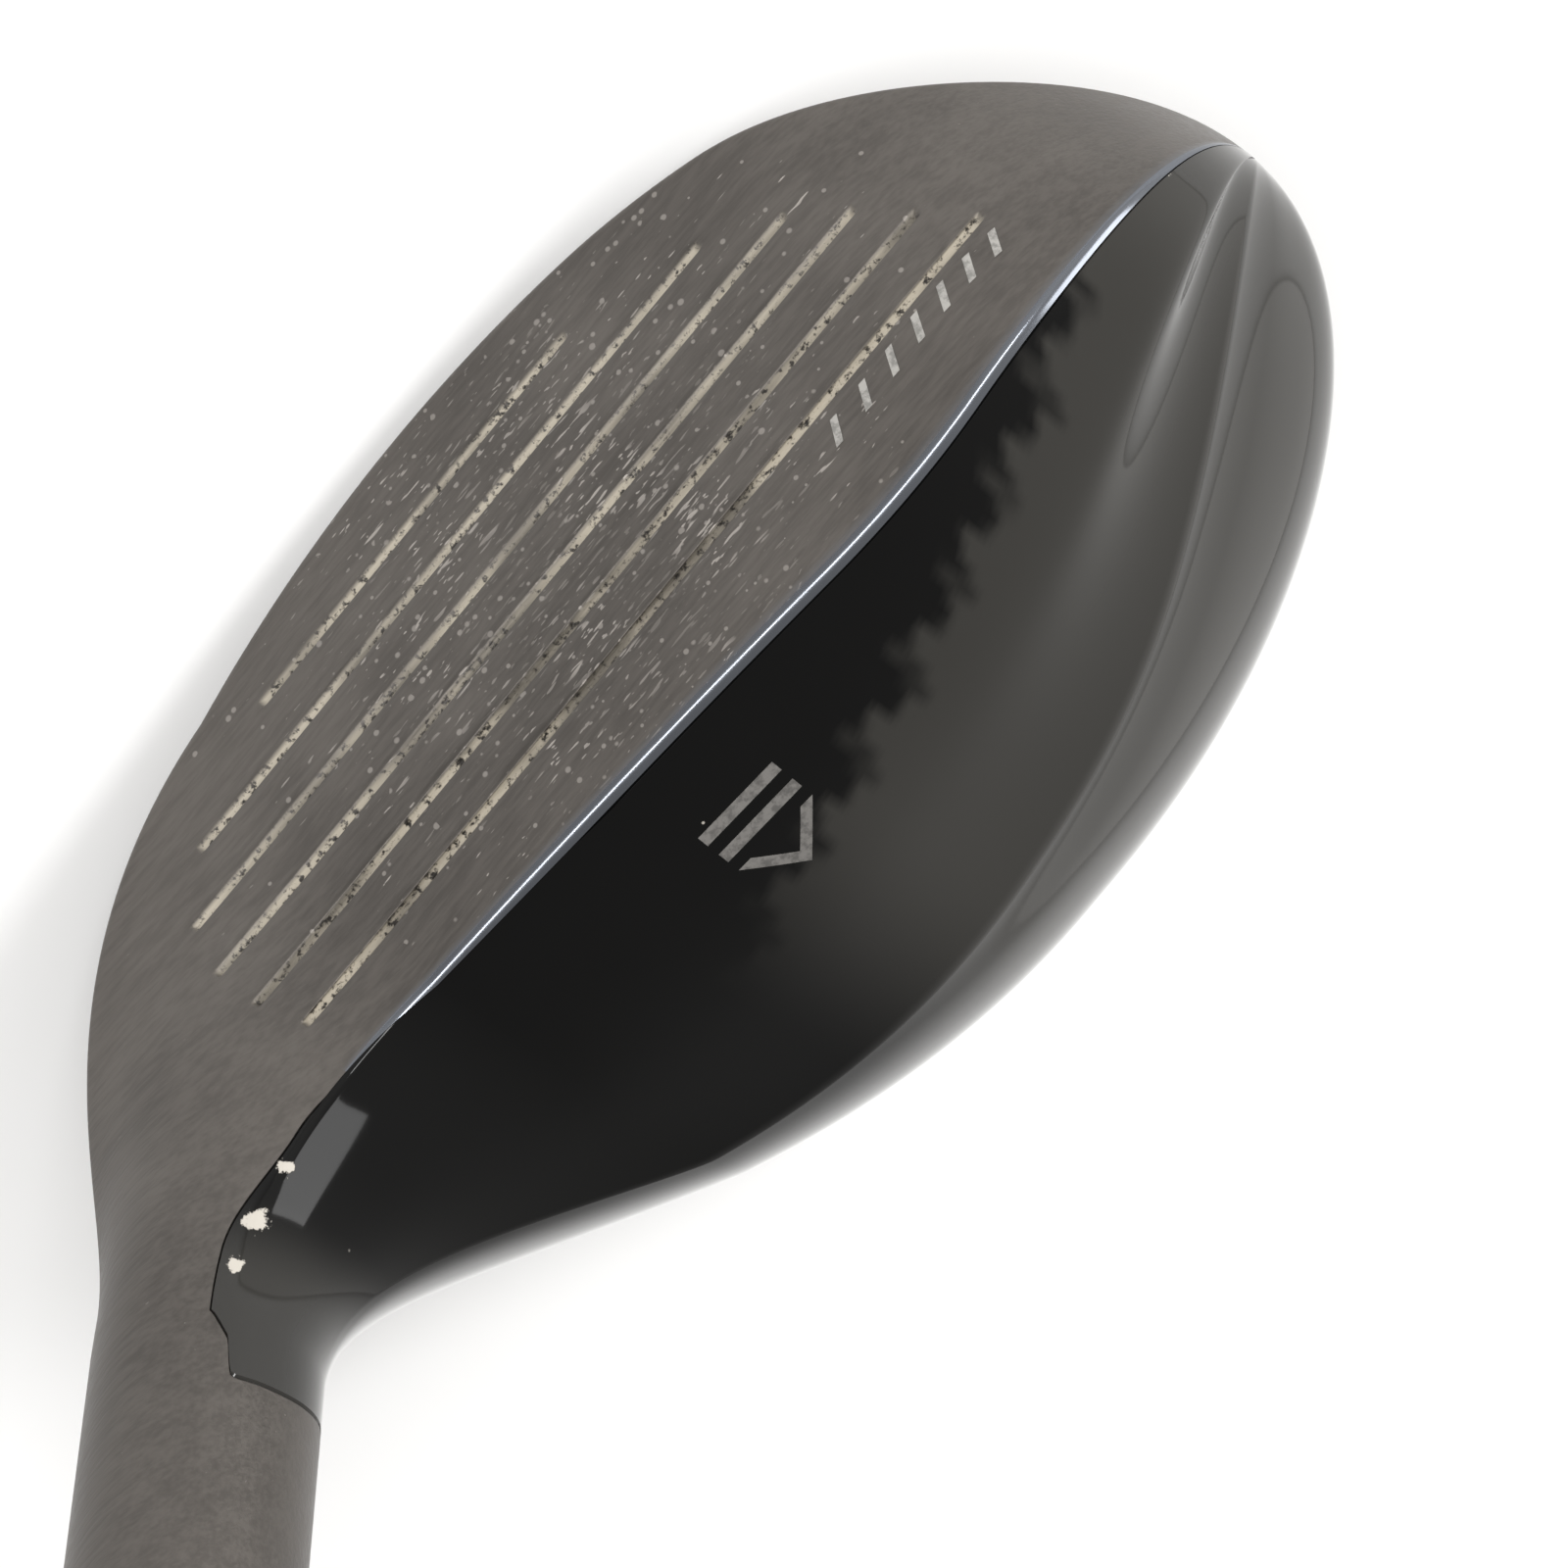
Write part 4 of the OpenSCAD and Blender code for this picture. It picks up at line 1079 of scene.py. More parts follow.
@dataclass(frozen=True)
class GlossPaint(Finish):
    """Gloss black paint with chips along its edge and fine dust, and a painted reflection: a dull olive tone towards
    the toe and the neck.
    """

    chips: tuple[tuple[tuple[float, float, float], float], ...] = ()
    primer: Colour = (0.5, 0.47, 0.42, 1.0)
    # Dull olive painted into the crown as a painted reflection.
    painted_reflection_colour: Colour = (0.03, 0.0285, 0.025, 1.0)

    def dress(self, w: Wires, shader: bpy.types.Node) -> None:
        """Chips, dust and hairlines over deep black, and the painted reflection tone where its mask is set."""
        dust = SPECKS.use(w, Scale=260.0, Share=0.035, Size=0.09).outputs["Mask"]
        tone = CLOUDING.use(w, Scale=30.0).outputs["Tone"]
        hair = NICKS.use(w, Amount=0.05, Patch_Scale=40.0).outputs["Mask"]
        mask: bpy.types.NodeSocket = w.math("MULTIPLY", dust, 0.7)
        for centre, radius in self.chips:
            chip = CHIP.use(w, Centre=centre, Radius=radius, Scale=1600.0, Raggedness=1.25).outputs["Mask"]
            mask = w.math("MAXIMUM", mask, chip)
        # Painted reflection: where this mask is set the black turns to the olive tone and the coat is raised.
        painted_reflection_share = w.put("ShaderNodeAttribute", attribute_name="painted_reflection_share").outputs["Fac"]
        rear = w.put("ShaderNodeAttribute", attribute_name="rear").outputs["Fac"]
        dark = tuple(c * 0.7 for c in self.base[:3]) + (1.0,)
        paint = w.blend(w.math("MULTIPLY", painted_reflection_share, 0.8), w.blend(tone, dark, self.base), self.painted_reflection_colour)
        w.feed(shader.inputs["Base Color"], w.blend(mask, paint, self.primer))
        w.feed(shader.inputs["Roughness"], w.math("ADD", w.math("ADD", self.rough, w.math("MULTIPLY", tone, 0.02)), w.math("MULTIPLY", w.math("MAXIMUM", mask, hair), 0.35)))
        gloss = w.math("MAXIMUM", w.math("MULTIPLY", painted_reflection_share, 0.55), rear)
        gloss = w.math("MULTIPLY_ADD", gloss, 1.0 - self.coat, self.coat)
        w.feed(shader.inputs["Coat Weight"], w.math("MULTIPLY", gloss, w.math("SUBTRACT", 1.0, mask)))
        shader.inputs["Specular IOR Level"].default_value = 0.12
        self.bump(w, shader, w.math("SUBTRACT", 1.0, mask), 0.00004)


@dataclass(frozen=True)
class PlainMetal(Finish):
    """Turned or anodised metal with lathe marks across its axis."""

    frequency: tuple[float, float, float] = (2500.0, 2500.0, 2500.0)

    def dress(self, w: Wires, shader: bpy.types.Node) -> None:
        """Fine grain and clouding."""
        grain = BRUSHING.use(w, Frequency=self.frequency).outputs["Grain"]
        tone = CLOUDING.use(w, Scale=120.0).outputs["Tone"]
        dark = tuple(c * 0.75 for c in self.base[:3]) + (1.0,)
        w.feed(shader.inputs["Base Color"], w.blend(w.math("MULTIPLY", w.math("ADD", grain, tone), 0.5), dark, self.base))
        w.feed(shader.inputs["Roughness"], w.math("ADD", self.rough - 0.05, w.math("MULTIPLY", grain, 0.1)))
        self.bump(w, shader, grain, 0.000015)


@dataclass(frozen=True)
class Moulded(Finish):
    """Moulded plastic, rubber or paper with a fine skin."""

    skin_scale: float = 1800.0
    skin_depth: float = 0.00003

    def dress(self, w: Wires, shader: bpy.types.Node) -> None:
        """A pebbled skin with a little dust."""
        place = w.place()
        skin = w.noise(place, self.skin_scale, 3.0, 0.6)
        tone = CLOUDING.use(w, Scale=40.0).outputs["Tone"]
        dust = SPECKS.use(w, Scale=500.0, Share=0.08, Size=0.12).outputs["Mask"]
        dark = tuple(c * 0.8 for c in self.base[:3]) + (1.0,)
        pale = tuple(min(1.0, c * 1.6 + 0.04) for c in self.base[:3]) + (1.0,)
        w.feed(shader.inputs["Base Color"], w.blend(w.math("MULTIPLY", dust, 0.5), w.blend(tone, dark, self.base), pale))
        w.feed(shader.inputs["Roughness"], w.math("ADD", self.rough - 0.06, w.math("MULTIPLY", skin, 0.12)))
        self.bump(w, shader, skin, self.skin_depth)


@dataclass(frozen=True)
class Graphite(Finish):
    """Carbon fibre under lacquer, with painted bands."""

    band: Colour = (0.5, 0.5, 0.5, 1.0)

    def dress(self, w: Wires, shader: bpy.types.Node) -> None:
        """Weave in the tone, bands from the mesh's own mask."""
        weave = WEAVE.use(w, Frequency=5200.0).outputs["Pattern"]
        tone = CLOUDING.use(w, Scale=80.0).outputs["Tone"]
        dark = tuple(c * 0.45 for c in self.base[:3]) + (1.0,)
        light = tuple(c * 1.6 for c in self.base[:3]) + (1.0,)
        fibre = w.blend(w.math("MULTIPLY", weave, w.math("ADD", 0.4, w.math("MULTIPLY", tone, 0.6))), dark, light)
        mask = w.put("ShaderNodeAttribute", attribute_name="band").outputs["Fac"]
        w.feed(shader.inputs["Base Color"], w.blend(mask, fibre, self.band))
        w.feed(shader.inputs["Roughness"], w.math("ADD", self.rough, w.math("MULTIPLY", weave, 0.06)))


@dataclass(frozen=True)
class Print(Finish):
    """Thin printed ink, a little worn."""

    def dress(self, w: Wires, shader: bpy.types.Node) -> None:
        """Tone that varies like worn ink."""
        place = w.place()
        worn = w.span(w.noise(place, 1500.0, 3.0, 0.7), 0.35, 0.6)
        dark = tuple(c * 0.55 for c in self.base[:3]) + (1.0,)
        w.feed(shader.inputs["Base Color"], w.blend(worn, dark, self.base))
        w.feed(shader.inputs["Roughness"], w.math("ADD", self.rough, w.math("MULTIPLY", worn, 0.1)))


@dataclass(frozen=True)
class StudioPaper(Finish):
    """Pale studio floor."""

    def dress(self, w: Wires, shader: bpy.types.Node) -> None:
        """Very faint fibre."""
        place = w.place()
        dark = tuple(c * 0.985 for c in self.base[:3]) + (1.0,)
        w.feed(shader.inputs["Base Color"], w.blend(w.noise(place, 40.0, 3.0), dark, self.base))


# ---------------------------------------------------------------- turned parts


def lobes(angle: Array, across: float) -> Array:
    """Radius of a six-lobe socket at each angle."""
    core, reach, lobe = 0.36 * across, 0.4 * across, 0.1 * across
    turn = np.mod(angle + np.pi / 6, np.pi / 3) - np.pi / 6
    side = reach * np.sin(turn)
    inside = np.clip(lobe * lobe - side * side, 0, None)
    return np.maximum(core, np.where(inside > 0, reach * np.cos(turn) + np.sqrt(inside), core))


@dataclass
class Fastener:
    """A screw with a six-lobe socket, in millimetres."""

    name: str
    place: Matrix
    head_radius: float
    head_height: float
    shank_radius: float = 0.0
    shank_length: float = 0.0
    pitch: float = 0.8
    socket_across: float = 4.5
    socket_depth: float = 2.5
    socket_up: bool = False

    def build(self) -> bpy.types.Object:
        """Builds the screw; its socket is in its lower face, or in its upper face with socket_up."""
        h, r = self.head_height, self.head_radius
        flip = (lambda z: h - z) if self.socket_up else (lambda z: z)
        lobed = [(0.0, self.socket_depth), (0.99, self.socket_depth), (1.0, self.socket_depth - 0.1), (1.0, 0.25), (1.1, 0.0)]
        rim = [(r - 0.45, 0.0), (r - 0.15, 0.1), (r, 0.45), (r, h - 0.3), (r - 0.1, h - 0.08), (r - 0.3, h)]
        rows = [(k, flip(z)) for k, z in lobed] + [(x, flip(z)) for x, z in rim]
        if self.shank_radius:
            steps = int(self.shank_length / self.pitch * 10)
            rows += [(self.shank_radius, h + self.shank_length * n / steps) for n in range(steps + 1)]
        top = h + self.shank_length if self.shank_radius else flip(h)
        rows.append((0.0, top))
        plain = len(lobed) + len(rim)

        def shape(i: Array, angle: Array, radius: Array) -> Array:
            """Lobed socket, plain head, ridged shank."""
            z = np.array([q[1] for q in rows])[i]
            socket = radius * lobes(angle, self.socket_across) + np.zeros_like(angle)
            turn = np.mod(z / self.pitch - angle / (2 * np.pi), 1.0)
            ridge = np.abs(turn - 0.5) * 2 * 0.16 * self.pitch / 0.3
            fade = np.clip((z - h) / self.pitch, 0, 1) * np.clip((top - z) / 0.4, 0, 1)
            threaded = radius - np.clip(ridge, 0, 0.36) * fade
            return np.where(i < len(lobed), socket, np.where(i < plain, radius, np.where(radius > 0, threaded, 0.0)))

        return turned(self.name, rows, self.place, 96, shape, closed=False, sharp=28.0)


@dataclass
class Fittings:
    """Bolt, rear weight, loft ring and ferrule."""

    head: Head
    bolt_from: float = 23.2
    weight_radius: float = 7.0
    weight_height: float = 6.0
    weight_sunk: float = 1.2
    ring_from: float = 65.05
    ring_height: float = 4.0
    ring_radius: float = 7.5
    ring_bore: float = 5.95
    ferrule_from: float = 69.1
    ferrule_length: float = 24.0
    shaft_bore: float = 4.75
    step_height: float = 10.15

    def bolt(self) -> bpy.types.Object:
        """Hosel bolt, seen through the wrench port."""
        place = self.head.form.hosel().at(self.bolt_from)
        piece = Fastener("hosel_bolt_cut", place, 4.1, 4.0, 2.45, 10.8).build()
        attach(piece, "bolt")
        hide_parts("hosel_bolt")
        return piece

    def weight(self) -> bpy.types.Object:
        """Rear weight, a disc with a six-lobe socket and drilled pips."""
        place = self.head.weight_axis().at(-self.weight_sunk - self.weight_height)
        piece = Fastener("rear_weight", place, self.weight_radius, self.weight_height, socket_up=True).build()
        for k in range(3):
            pip = place @ Matrix.Rotation(math.radians(60 + 120 * k), 4, "Z") @ Matrix.Translation((5.0, 0, self.weight_height - 0.3))
            cut(piece, rod(pip, 0.45, 2.0, 24))
        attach(piece, "weight")
        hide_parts("sole_weight")
        return piece

    def ring(self) -> bpy.types.Object:
        """Loft ring with its key lugs and setting ticks."""
        place = self.head.form.hosel().at(self.ring_from)
        outline = rounded(
            [(self.ring_bore, 0), (self.ring_radius, 0), (self.ring_radius, self.ring_height), (self.ring_bore, self.ring_height)], 0.3
        )
        piece = turned("loft_ring_turned", outline, place, 144)
        for k in range(8):
            turn = Matrix.Rotation(math.radians(45 * k), 4, "Z")
            long = 1.6 if k % 2 == 0 else 0.9
            corners = [(self.ring_radius - 0.12, -0.14), (self.ring_radius + 1, -0.14), (self.ring_radius + 1, 0.14), (self.ring_radius - 0.12, 0.14)]
            points = [place @ turn @ Vector((x, y, z)) for z in (0.9, 0.9 + long) for x, y in corners]
            cut(piece, new_piece("tool", np.array([tuple(p) for p in points]), self.block()))
        lugs = self.lugs(place)
        work = bmesh.new()
        work.from_mesh(piece.data)
        work.from_mesh(lugs.data)
        work.to_mesh(piece.data)
        work.free()
        bpy.data.objects.remove(lugs)
        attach(piece, "club_shaft")
        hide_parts("loft_ring")
        return piece

    def block(self) -> list[tuple[int, int, int, int]]:
        """Faces of a six-sided block from its lower and upper four corners."""
        return [(0, 3, 2, 1), (4, 5, 6, 7), (0, 1, 5, 4), (1, 2, 6, 5), (2, 3, 7, 6), (3, 0, 4, 7)]

    def lugs(self, place: Matrix) -> bpy.types.Object:
        """Two key lugs under the loft ring, with their corners eased."""
        work = bmesh.new()
        for k in range(2):
            turn = place @ Matrix.Rotation(math.radians(135 + 180 * k), 4, "Z")
            corners = [(6.4, -1.1), (7.2, -1.1), (7.2, 1.1), (6.4, 1.1)]
            points = [work.verts.new(turn @ Vector((x, y, z))) for z in (-1.6, 0.1) for x, y in corners]
            for loop in self.block():
                work.faces.new([points[i] for i in loop])
        bmesh.ops.recalc_face_normals(work, faces=work.faces)
        bmesh.ops.bevel(work, geom=list(work.edges), offset=0.12 * MM, segments=2, affect="EDGES", profile=0.5)
        mesh = bpy.data.meshes.new("lugs")
        work.to_mesh(mesh)
        work.free()
        return bpy.data.objects.new("lugs", mesh)

    def ferrule(self) -> bpy.types.Object:
        """Tapered ferrule with two turned grooves."""
        r, n = self.ring_radius, self.ferrule_length
        inside = self.ring_bore
        side = [(r - 0.12, 0.0), (r - 0.15, 0.25 * n), (r - 0.6, 0.6 * n), (5.5, n)]
        heights = np.linspace(0, n, 61)
        radii = np.interp(heights, [z for _, z in side], [q for q, _ in side])
        for at in (3.0, 4.6):
            radii -= 0.22 * np.exp(-(((heights - at) / 0.32) ** 2))
        outer = [(float(q), float(z)) for q, z in zip(radii, heights)]
        outline = [(inside, 0.0)] + outer + [(self.shaft_bore, n), (self.shaft_bore, self.step_height), (inside, self.step_height)]
        piece = turned("ferrule_turned", outline, self.head.form.hosel().at(self.ferrule_from), 128)
        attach(piece, "club_shaft")
        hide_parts("ferrule")
        return piece


@dataclass
class Handle:
    """Shaft, grip and grip cap, in millimetres along the hosel's axis."""

    axis: Axis
    tip_from: float = 38.58
    taper_from: float = 120.0
    butt_from: float = 741.95
    shaft_to: float = 1012.95
    tip_radius: float = 4.7
    tip_bore: float = 2.8
    butt_radius: float = 7.62
    butt_wall: float = 1.2
    grip_from: float = 745.95
    grip_length: float = 267.0
    grip_bore: float = 7.92
    mouth_radius: float = 9.0
    top_radius: float = 13.2
    cap_radius: float = 14.2
    cap_from: float = 1013.0
    cap_height: float = 3.0
    vent: float = 2.0
    bands: tuple[tuple[float, float], ...] = ((112.0, 113.2), (116.0, 128.0), (130.8, 132.0), (716.0, 717.2), (722.0, 723.2))

    def shaft(self) -> bpy.types.Object:
        """Tapered tube with painted bands."""
        base = self.tip_from
        marks = sorted(set([base, self.taper_from, self.butt_from, self.shaft_to, *np.linspace(base, self.shaft_to, 60)]
                           + [e + d for band in self.bands for e in band for d in (-0.02, 0.02)]))  # fmt: skip
        radius = np.interp(marks, [base, self.taper_from, self.butt_from, self.shaft_to], [self.tip_radius] * 2 + [self.butt_radius] * 2)
        outer = [(float(r), t - base) for r, t in zip(radius, marks)]
        inner_radius = self.butt_radius - self.butt_wall
        inner = [(inner_radius, self.shaft_to - base), (inner_radius, self.butt_from - base), (self.tip_bore, self.taper_from - base), (self.tip_bore, 0.0)]
        piece = turned("shaft_tube", outer + inner, self.axis.at(base), 96)
        lean = np.array(self.axis.turn() @ Vector((0, 0, 1)))

        def banded(points: Array) -> Array:
            """1 inside a band."""
            t = (points - np.array(self.axis.base)) @ lean
            return np.clip(sum(((t > a) & (t < b)).astype(float) for a, b in self.bands), 0, 1)

        add_mask(piece, "band", banded)
        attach(piece, "club_shaft")
        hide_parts("shaft")
        return piece

    def grip(self) -> bpy.types.Object:
        """Rubber grip with moulded rows of slanting slots."""
        n = self.grip_length
        heights = np.concatenate([[0.0, 0.25], np.linspace(0.6, n - 0.4, 372), [n]])
        radius = np.interp(heights, [0, 2, 4, 0.5 * n, 0.93 * n, n - 2, n], [9.0, 9.3, 9.0, 11.5, 13.2, 14.2, 14.2])
        radius[0] -= 0.25
        outline = [(float(r), float(z)) for r, z in zip(radius, heights)] + [(self.grip_bore, n), (self.grip_bore, 0.0)]
        rows = len(heights)

        def pattern(i: Array, angle: Array, plain: Array) -> Array:
            """Sinks the slots below the plain radius."""
            z = np.append(heights, [n, 0.0])[i]
            row = np.floor(z / 5.0)
            across = angle / (2 * np.pi) * 22 + 0.5 * np.mod(row, 2)
            x, y = np.mod(across, 1.0) - 0.5, np.mod(z / 5.0, 1.0) - 0.5
            slant = np.where(np.mod(row, 4) < 2, 1.0, -1.0)
            slot = np.clip(1 - np.abs(x * 1.0 - slant * y * 0.55) / 0.17, 0, 1) * np.clip((0.42 - np.abs(y)) / 0.1, 0, 1)
            ribs = 0.5 + 0.5 * np.cos(2 * np.pi * z / 2.2)
            zone = np.clip((z - 14) / 3, 0, 1) * np.clip((n - 22 - z) / 3, 0, 1)
            ends = np.clip((z - 5) / 1, 0, 1) * np.clip((13 - z) / 1, 0, 1) + np.clip((z - n + 19) / 1, 0, 1) * np.clip((n - 8 - z) / 1, 0, 1)
            sink = 0.42 * ease(slot) * zone + 0.25 * ribs * ends
            return np.where(i < rows, plain - sink, plain)

        piece = turned("grip_rubber_sleeve", outline, self.axis.at(self.grip_from), 176, pattern, sharp=60.0)
        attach(piece, "club_shaft")
        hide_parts("grip")
        return piece

    def cap(self) -> bpy.types.Object:
        """Rounded end cap with its vent hole and two shallow rings."""
        r, h = self.cap_radius, self.cap_height
        face = [(r - 1.2, h), (11.2, h), (11.0, h - 0.25), (10.4, h - 0.25), (10.2, h), (4.4, h), (4.2, h - 0.3), (3.4, h - 0.3), (3.2, h)]
        outline = [(self.vent, 0.0), (r, 0.0), (r, h - 1.2)] + face + [(self.vent, h)]
        piece = turned("grip_end_cap", rounded(outline, 0.35, 4, keep=(0, 1)), self.axis.at(self.cap_from), 144)
        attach(piece, "club_shaft")
        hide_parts("grip_cap")
        return piece


# ---------------------------------------------------------------- printed marks


@dataclass
class Marks:
    """Generic printed marks laid on the head's skin: an alignment arrow and a row of dashes."""

    form: HeadForm
    thickness: float = 0.04

    def sheet(self, name: str, outline: Sequence[tuple[float, float]], centre: tuple[float, float], turn: float) -> bpy.types.Object:
        """Lays a flat outline on the head.

        Args:
            name: the piece's name.
            outline: corners in millimetres, x towards the toe's right and y across the section.
            centre: station and place of the mark's middle.
            turn: turn of the mark on the skin, in degrees.

        Returns:
            The printed piece.
        """
        s0, v0 = centre
        step = 0.01
        middle = self.form.skin(np.array(s0), np.array(v0))
        along_s = (self.form.skin(np.array(s0 + step), np.array(v0)) - middle) / step
        along_v = (self.form.skin(np.array(s0), np.array(v0 + step)) - middle) / step
        unit = along_s / np.linalg.norm(along_s)
        side = along_v - unit * (along_v @ unit)
        side /= np.linalg.norm(side)
        work = bmesh.new()
        face = work.faces.new([work.verts.new((x, y, 0)) for x, y in outline])
        bmesh.ops.triangulate(work, faces=[face])
        bmesh.ops.subdivide_edges(work, edges=work.edges[:], cuts=3, use_grid_fill=True)
        c, q = math.cos(math.radians(turn)), math.sin(math.radians(turn))
        frame_st = np.array([[along_s @ unit, along_v @ unit], [along_s @ side, along_v @ side]])
        inverse = np.linalg.inv(frame_st)
        flat = np.array([v.co for v in work.verts])
        plane = np.stack([flat[:, 0] * c - flat[:, 1] * q, flat[:, 0] * q + flat[:, 1] * c], 1)
        guess = plane @ inverse.T + np.array([s0, v0])
        for _ in range(6):
            now = self.form.skin(guess[:, 0], guess[:, 1]) - middle
            error = plane - np.stack([now @ unit, now @ side], 1)
            guess = guess + error @ inverse.T
        skin, inner = self.form.skin(guess[:, 0], guess[:, 1]), self.form.skin(guess[:, 0], guess[:, 1], 1.0)
        out = skin - inner
        out /= np.linalg.norm(out, axis=1, keepdims=True)
        loops = [[v.index for v in f.verts] for f in work.faces]
        rim = [(e.link_loops[0].vert.index, e.link_loops[0].link_loop_next.vert.index) for e in work.edges if len(e.link_faces) == 1]
        work.free()
        count = len(flat)
        top, bottom = skin + out * self.thickness, skin - out * 0.05
        faces = loops + [tuple(reversed([p + count for p in loop])) for loop in loops]
        faces += [(b, a, a + count, b + count) for a, b in rim]
        return new_piece(name, np.concatenate([top, bottom]) * MM, faces)

    def build(self) -> list[bpy.types.Object]:
        """Builds both marks."""
        arrow = [(-3.4, 0.2), (-2.3, 0.2), (0.0, 2.6), (2.3, 0.2), (3.4, 0.2), (0.0, 3.8)]
        bars = [[(-3.4, low), (3.4, low), (3.4, low + 0.9), (-3.4, low + 0.9)] for low in (-3.6, -1.7)]
        middle = (14.8, 11.45)
        pieces = [self.sheet("alignment_arrow", arrow, middle, 0.0)]
        pieces += [self.sheet(f"alignment_bar_{k + 1}", bar, middle, 0.0) for k, bar in enumerate(bars)]
        dash = [(-0.75, -0.9), (-0.15, -0.9), (0.75, 0.9), (0.15, 0.9)]
        for k in range(7):
            pieces.append(self.sheet(f"face_dash_{k + 1}", dash, (7.15 + 0.6 * k, 5.4 + 0.045 * k), 0.0))
        for piece in pieces:
            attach(piece, "head")
        return pieces


# ---------------------------------------------------------------- studio


@dataclass
class Studio:
    """Floor, lamps, sky and camera."""

    target: tuple[float, float, float] = (4.097, 28.55, -7.448)
    height_angle: float = 57.212
    side_angle: float = -11.619
    roll: float = 139.811
    distance: float = 343.948
    lens: float = 107.3735

    def camera(self) -> None:
        """Places the camera above the face, turned so that the toe is at the upper right."""
        e, a, t = (math.radians(x) for x in (self.height_angle, self.side_angle, self.roll))
        back = Vector((math.sin(a) * math.cos(e), -math.cos(a) * math.cos(e), math.sin(e)))
        right = Vector((math.cos(a), math.sin(a), 0))
        up = back.cross(right)
        x = math.cos(t) * right + math.sin(t) * up
        y = -math.sin(t) * right + math.cos(t) * up
        data = bpy.data.cameras.new("camera")
        data.lens, data.sensor_width, data.clip_start = self.lens, 36.0, 0.01
        camera = bpy.data.objects.new("camera", data)
        place = (Vector(self.target) + back * self.distance) * MM
        camera.matrix_world = Matrix.Translation(place) @ Matrix((x, y, back)).transposed().to_4x4()
        bpy.context.scene.collection.objects.link(camera)
        bpy.context.scene.camera = camera

    def floor(self) -> bpy.types.Object:
        """Pale floor that the club touches."""
        work = bmesh.new()
        bmesh.ops.create_grid(work, x_segments=8, y_segments=8, size=4.0)
        mesh = bpy.data.meshes.new("studio_floor")
        work.to_mesh(mesh)
        work.free()
        floor = bpy.data.objects.new("studio_floor", mesh)
        floor.location = (0, 0, -0.0001)
        bpy.context.scene.collection.objects.link(floor)
        StudioPaper("studio_paper", grey(0.92), 0.7).on(floor)
        return floor

    def lamp(self, name: str, place: tuple[float, float, float], size: tuple[float, float], power: float) -> None:
        """A soft rectangular lamp that looks at the head."""
        data = bpy.data.lights.new(name, "AREA")
        data.shape, data.size, data.size_y, data.energy = "RECTANGLE", size[0], size[1], power
        lamp = bpy.data.objects.new(name, data)
        lamp.location = place
        lamp.rotation_euler = (Vector((0, 0.01, 0.02)) - Vector(place)).to_track_quat("-Z", "Y").to_euler()
        bpy.context.scene.collection.objects.link(lamp)

    def sky(self) -> None:
        """Soft room light: bright above and towards the toe, darker behind the heel and low down behind the head."""
        world = bpy.data.worlds.new("studio")
        bpy.context.scene.world = world
        world.use_nodes = True
        w = Wires(world.node_tree)
        ground = world.node_tree.nodes["Background"]
        way = w.put("ShaderNodeTexCoord").outputs["Generated"]
        toe_side = w.span(w.vector("DOT_PRODUCT", way, (-0.9, 0.2, 0.0)), -0.45, 0.5)
        high = w.span(w.vector("DOT_PRODUCT", way, (0.0, 0.35, 0.94)), 0.25, 0.8)
        level = w.math("MULTIPLY", w.math("ADD", 0.55, w.math("MULTIPLY", toe_side, 0.5)), w.math("SUBTRACT", 1.15, w.math("MULTIPLY", high, 0.45)))
        w.feed(ground.inputs["Color"], (1.0, 0.985, 0.96, 1.0))
        w.feed(ground.inputs["Strength"], level)
        plain = w.put("ShaderNodeBackground")
        plain.inputs["Color"].default_value = grey(0.9)
        seen = w.put("ShaderNodeLightPath").outputs["Is Camera Ray"]
        both = w.put("ShaderNodeMixShader")
        w.feed(both.inputs["Fac"], seen)
        world.node_tree.links.new(ground.outputs[0], both.inputs[1])
        world.node_tree.links.new(plain.outputs[0], both.inputs[2])
        out = next(n for n in world.node_tree.nodes if n.type == "OUTPUT_WORLD")
        world.node_tree.links.new(both.outputs[0], out.inputs["Surface"])

    def build(self) -> None:
        """Sets the whole studio up."""
        self.camera()
        self.floor()
        self.sky()
        self.lamp("strip_lamp", (0.0, -0.62, 1.05), (1.3, 0.12), 9.0)
        self.lamp("side_lamp", (-1.1, 0.1, 0.9), (0.5, 0.9), 9.0)
        bpy.context.scene.view_settings.view_transform = "Standard"


# ---------------------------------------------------------------- the club


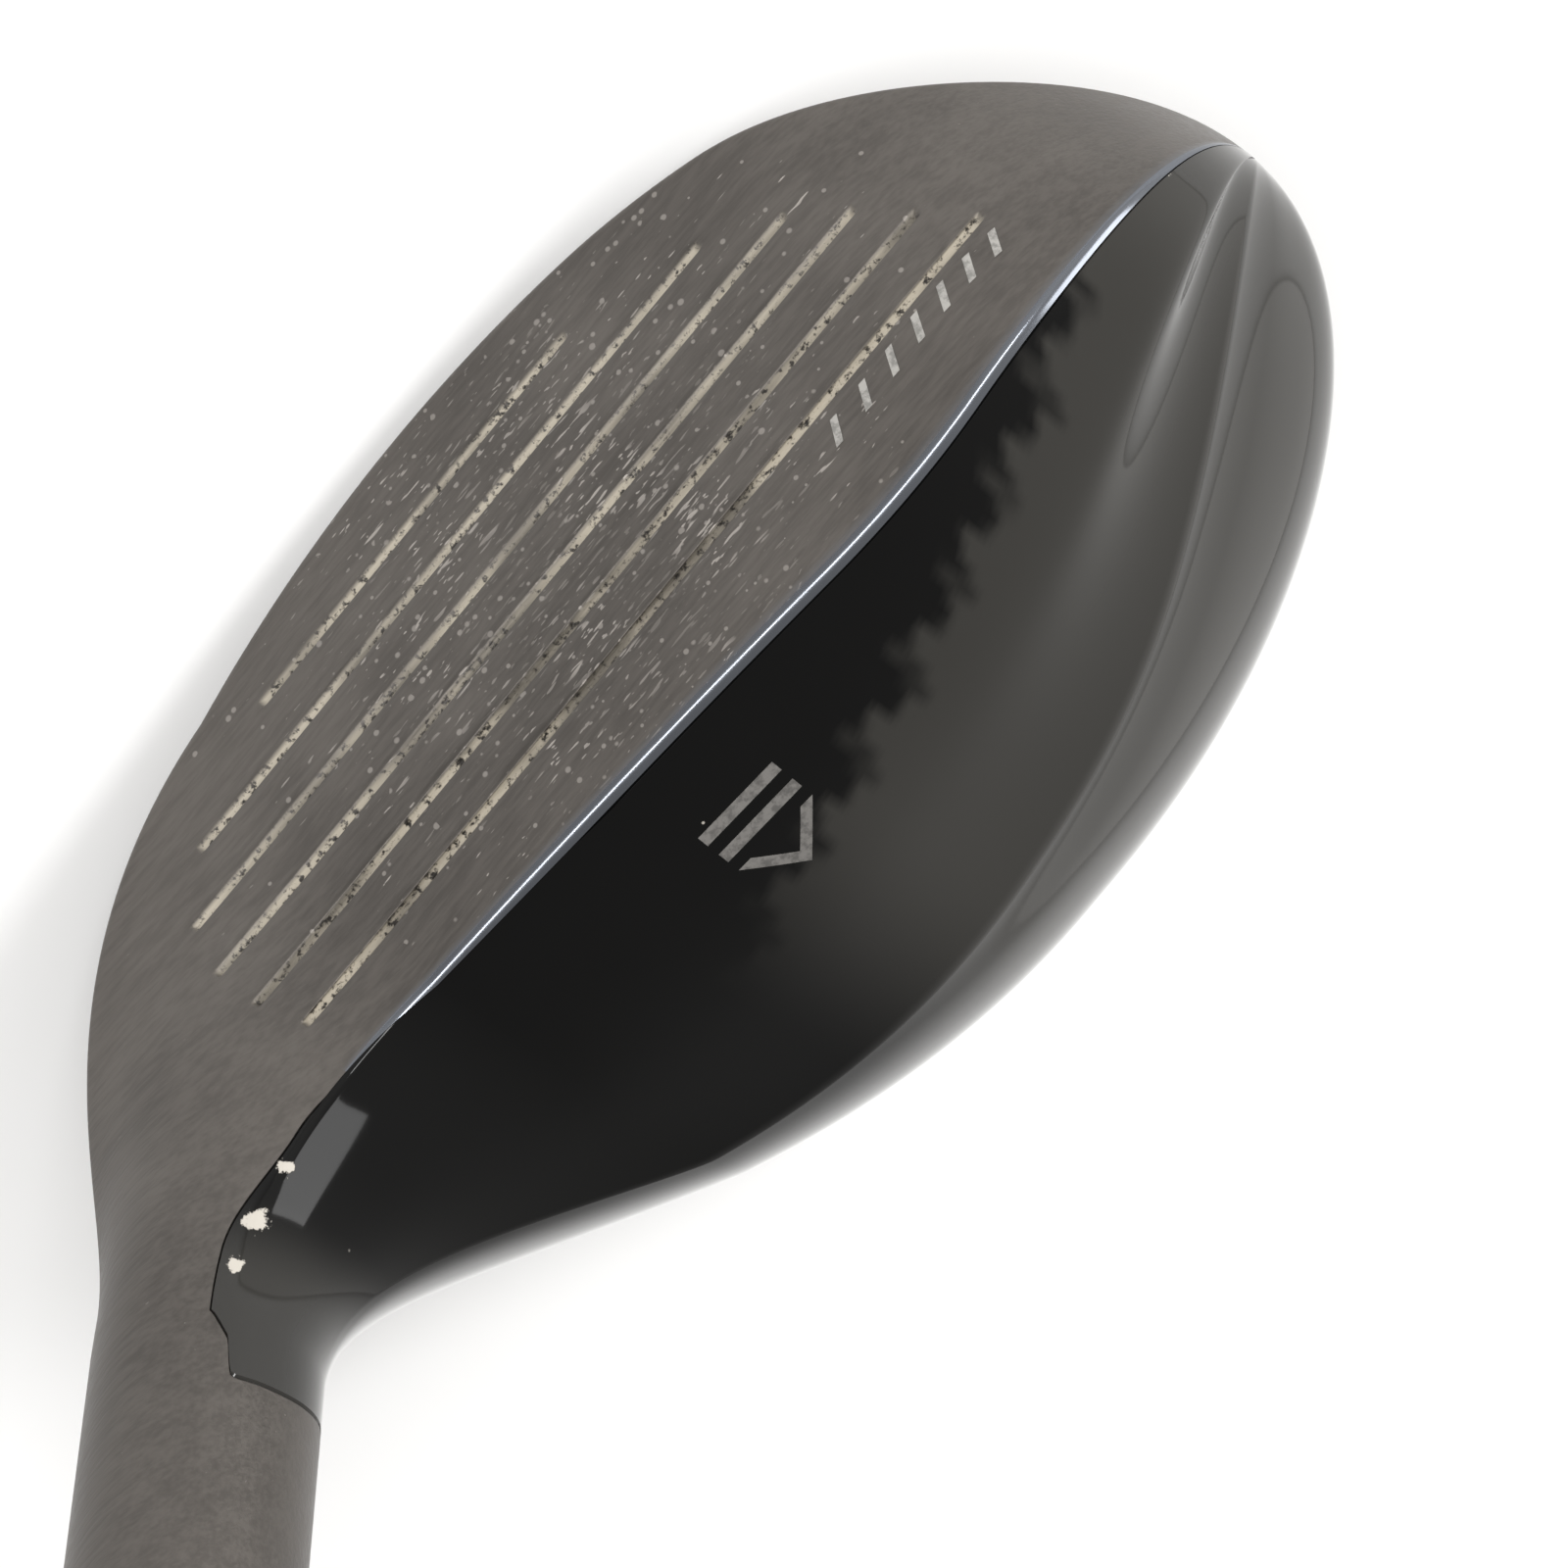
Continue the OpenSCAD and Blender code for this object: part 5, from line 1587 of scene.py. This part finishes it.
FACE = FaceSteel("brushed_face", (0.105, 0.096, 0.088, 1.0), 0.42, 0.85, nicks=0.75, contrast=0.3, bright=(0.42, 0.39, 0.36, 1.0))
CROWN = GlossPaint(
    "gloss_crown", (0.003, 0.003, 0.003, 1.0), 0.06, 0.0, 0.1,
    chips=(
        ((-0.0465, 0.0, 0.0254), 0.0014), ((0.0365, -0.0084, 0.0351), 0.0012),
        ((0.0397, -0.009, 0.0377), 0.0016), ((0.0421, -0.0095, 0.0401), 0.0012),
    ),
)  # fmt: skip
INK = Print("mark_ink", (0.15, 0.143, 0.135, 1.0), 0.5)
FACE_INK = Print("face_ink", (0.34, 0.33, 0.31, 1.0), 0.5)
CARRIED = {
    "weight_bar": PlainMetal("cast_weight", (0.42, 0.42, 0.43, 1.0), 0.5, 1.0),
    "hosel_tube": PlainMetal("tube_steel", (0.45, 0.45, 0.46, 1.0), 0.32, 1.0),
    "bolt_retainer": Moulded("retainer_nylon", (0.78, 0.77, 0.72, 1.0), 0.45),
    "weight_seat": PlainMetal("seat_steel", (0.42, 0.42, 0.43, 1.0), 0.35, 1.0),
    "weight_washer": Moulded("washer_nylon", (0.8, 0.79, 0.75, 1.0), 0.45),
    "bolt_washer": PlainMetal("washer_steel", (0.6, 0.6, 0.61, 1.0), 0.25, 1.0),
    "adapter_sleeve": PlainMetal("adapter_aluminium", (0.62, 0.62, 0.64, 1.0), 0.3, 1.0),
    "thread_insert": PlainMetal("insert_brass", (0.7, 0.52, 0.26, 1.0), 0.3, 1.0),
    "tip_plug": PlainMetal("plug_brass", (0.7, 0.52, 0.26, 1.0), 0.4, 1.0),
    "grip_tape": Moulded("grip_tape_paper", (0.74, 0.7, 0.6, 1.0), 0.8),
}
FITTED = {
    "hosel_bolt_cut": PlainMetal("bolt_steel", (0.6, 0.6, 0.62, 1.0), 0.25, 1.0),
    "rear_weight": PlainMetal("weight_steel", (0.4, 0.4, 0.41, 1.0), 0.35, 1.0),
    "loft_ring_turned": PlainMetal("ring_anodised", (0.03, 0.03, 0.032, 1.0), 0.38, 0.6),
    "ferrule_turned": Moulded("ferrule_plastic", (0.012, 0.012, 0.013, 1.0), 0.22, 0.0, 0.5, skin_depth=0.000004),
    "shaft_tube": Graphite("graphite_lacquer", (0.035, 0.036, 0.04, 1.0), 0.22, 0.0, 1.0),
    "grip_rubber_sleeve": Moulded("grip_rubber", (0.022, 0.022, 0.022, 1.0), 0.68),
    "grip_end_cap": Moulded("cap_rubber", (0.026, 0.026, 0.026, 1.0), 0.6),
}


def main() -> None:
    """Builds the studio, then the club from head to grip."""
    logging.basicConfig(level=logging.INFO, format="%(message)s")
    Studio().build()
    head = Head()
    casting, face, crown = head.build()
    FACE.on(casting, face)
    CROWN.on(crown)
    fittings = Fittings(head)
    handle = Handle(head.form.hosel())
    pieces = [fittings.bolt(), fittings.weight(), fittings.ring(), fittings.ferrule(), handle.shaft(), handle.grip(), handle.cap()]
    for piece in pieces:
        FITTED[piece.name].on(piece)
    marks = Marks(head.form).build()
    INK.on(*marks[:3])
    FACE_INK.on(*marks[3:])
    for node, finish in CARRIED.items():
        finish.on(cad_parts[node])
    for piece in [casting, face, crown, *pieces, *marks]:
        LOG.info("%s: %d faces", piece.name, len(piece.data.polygons))


if __name__ == "__main__":
    main()
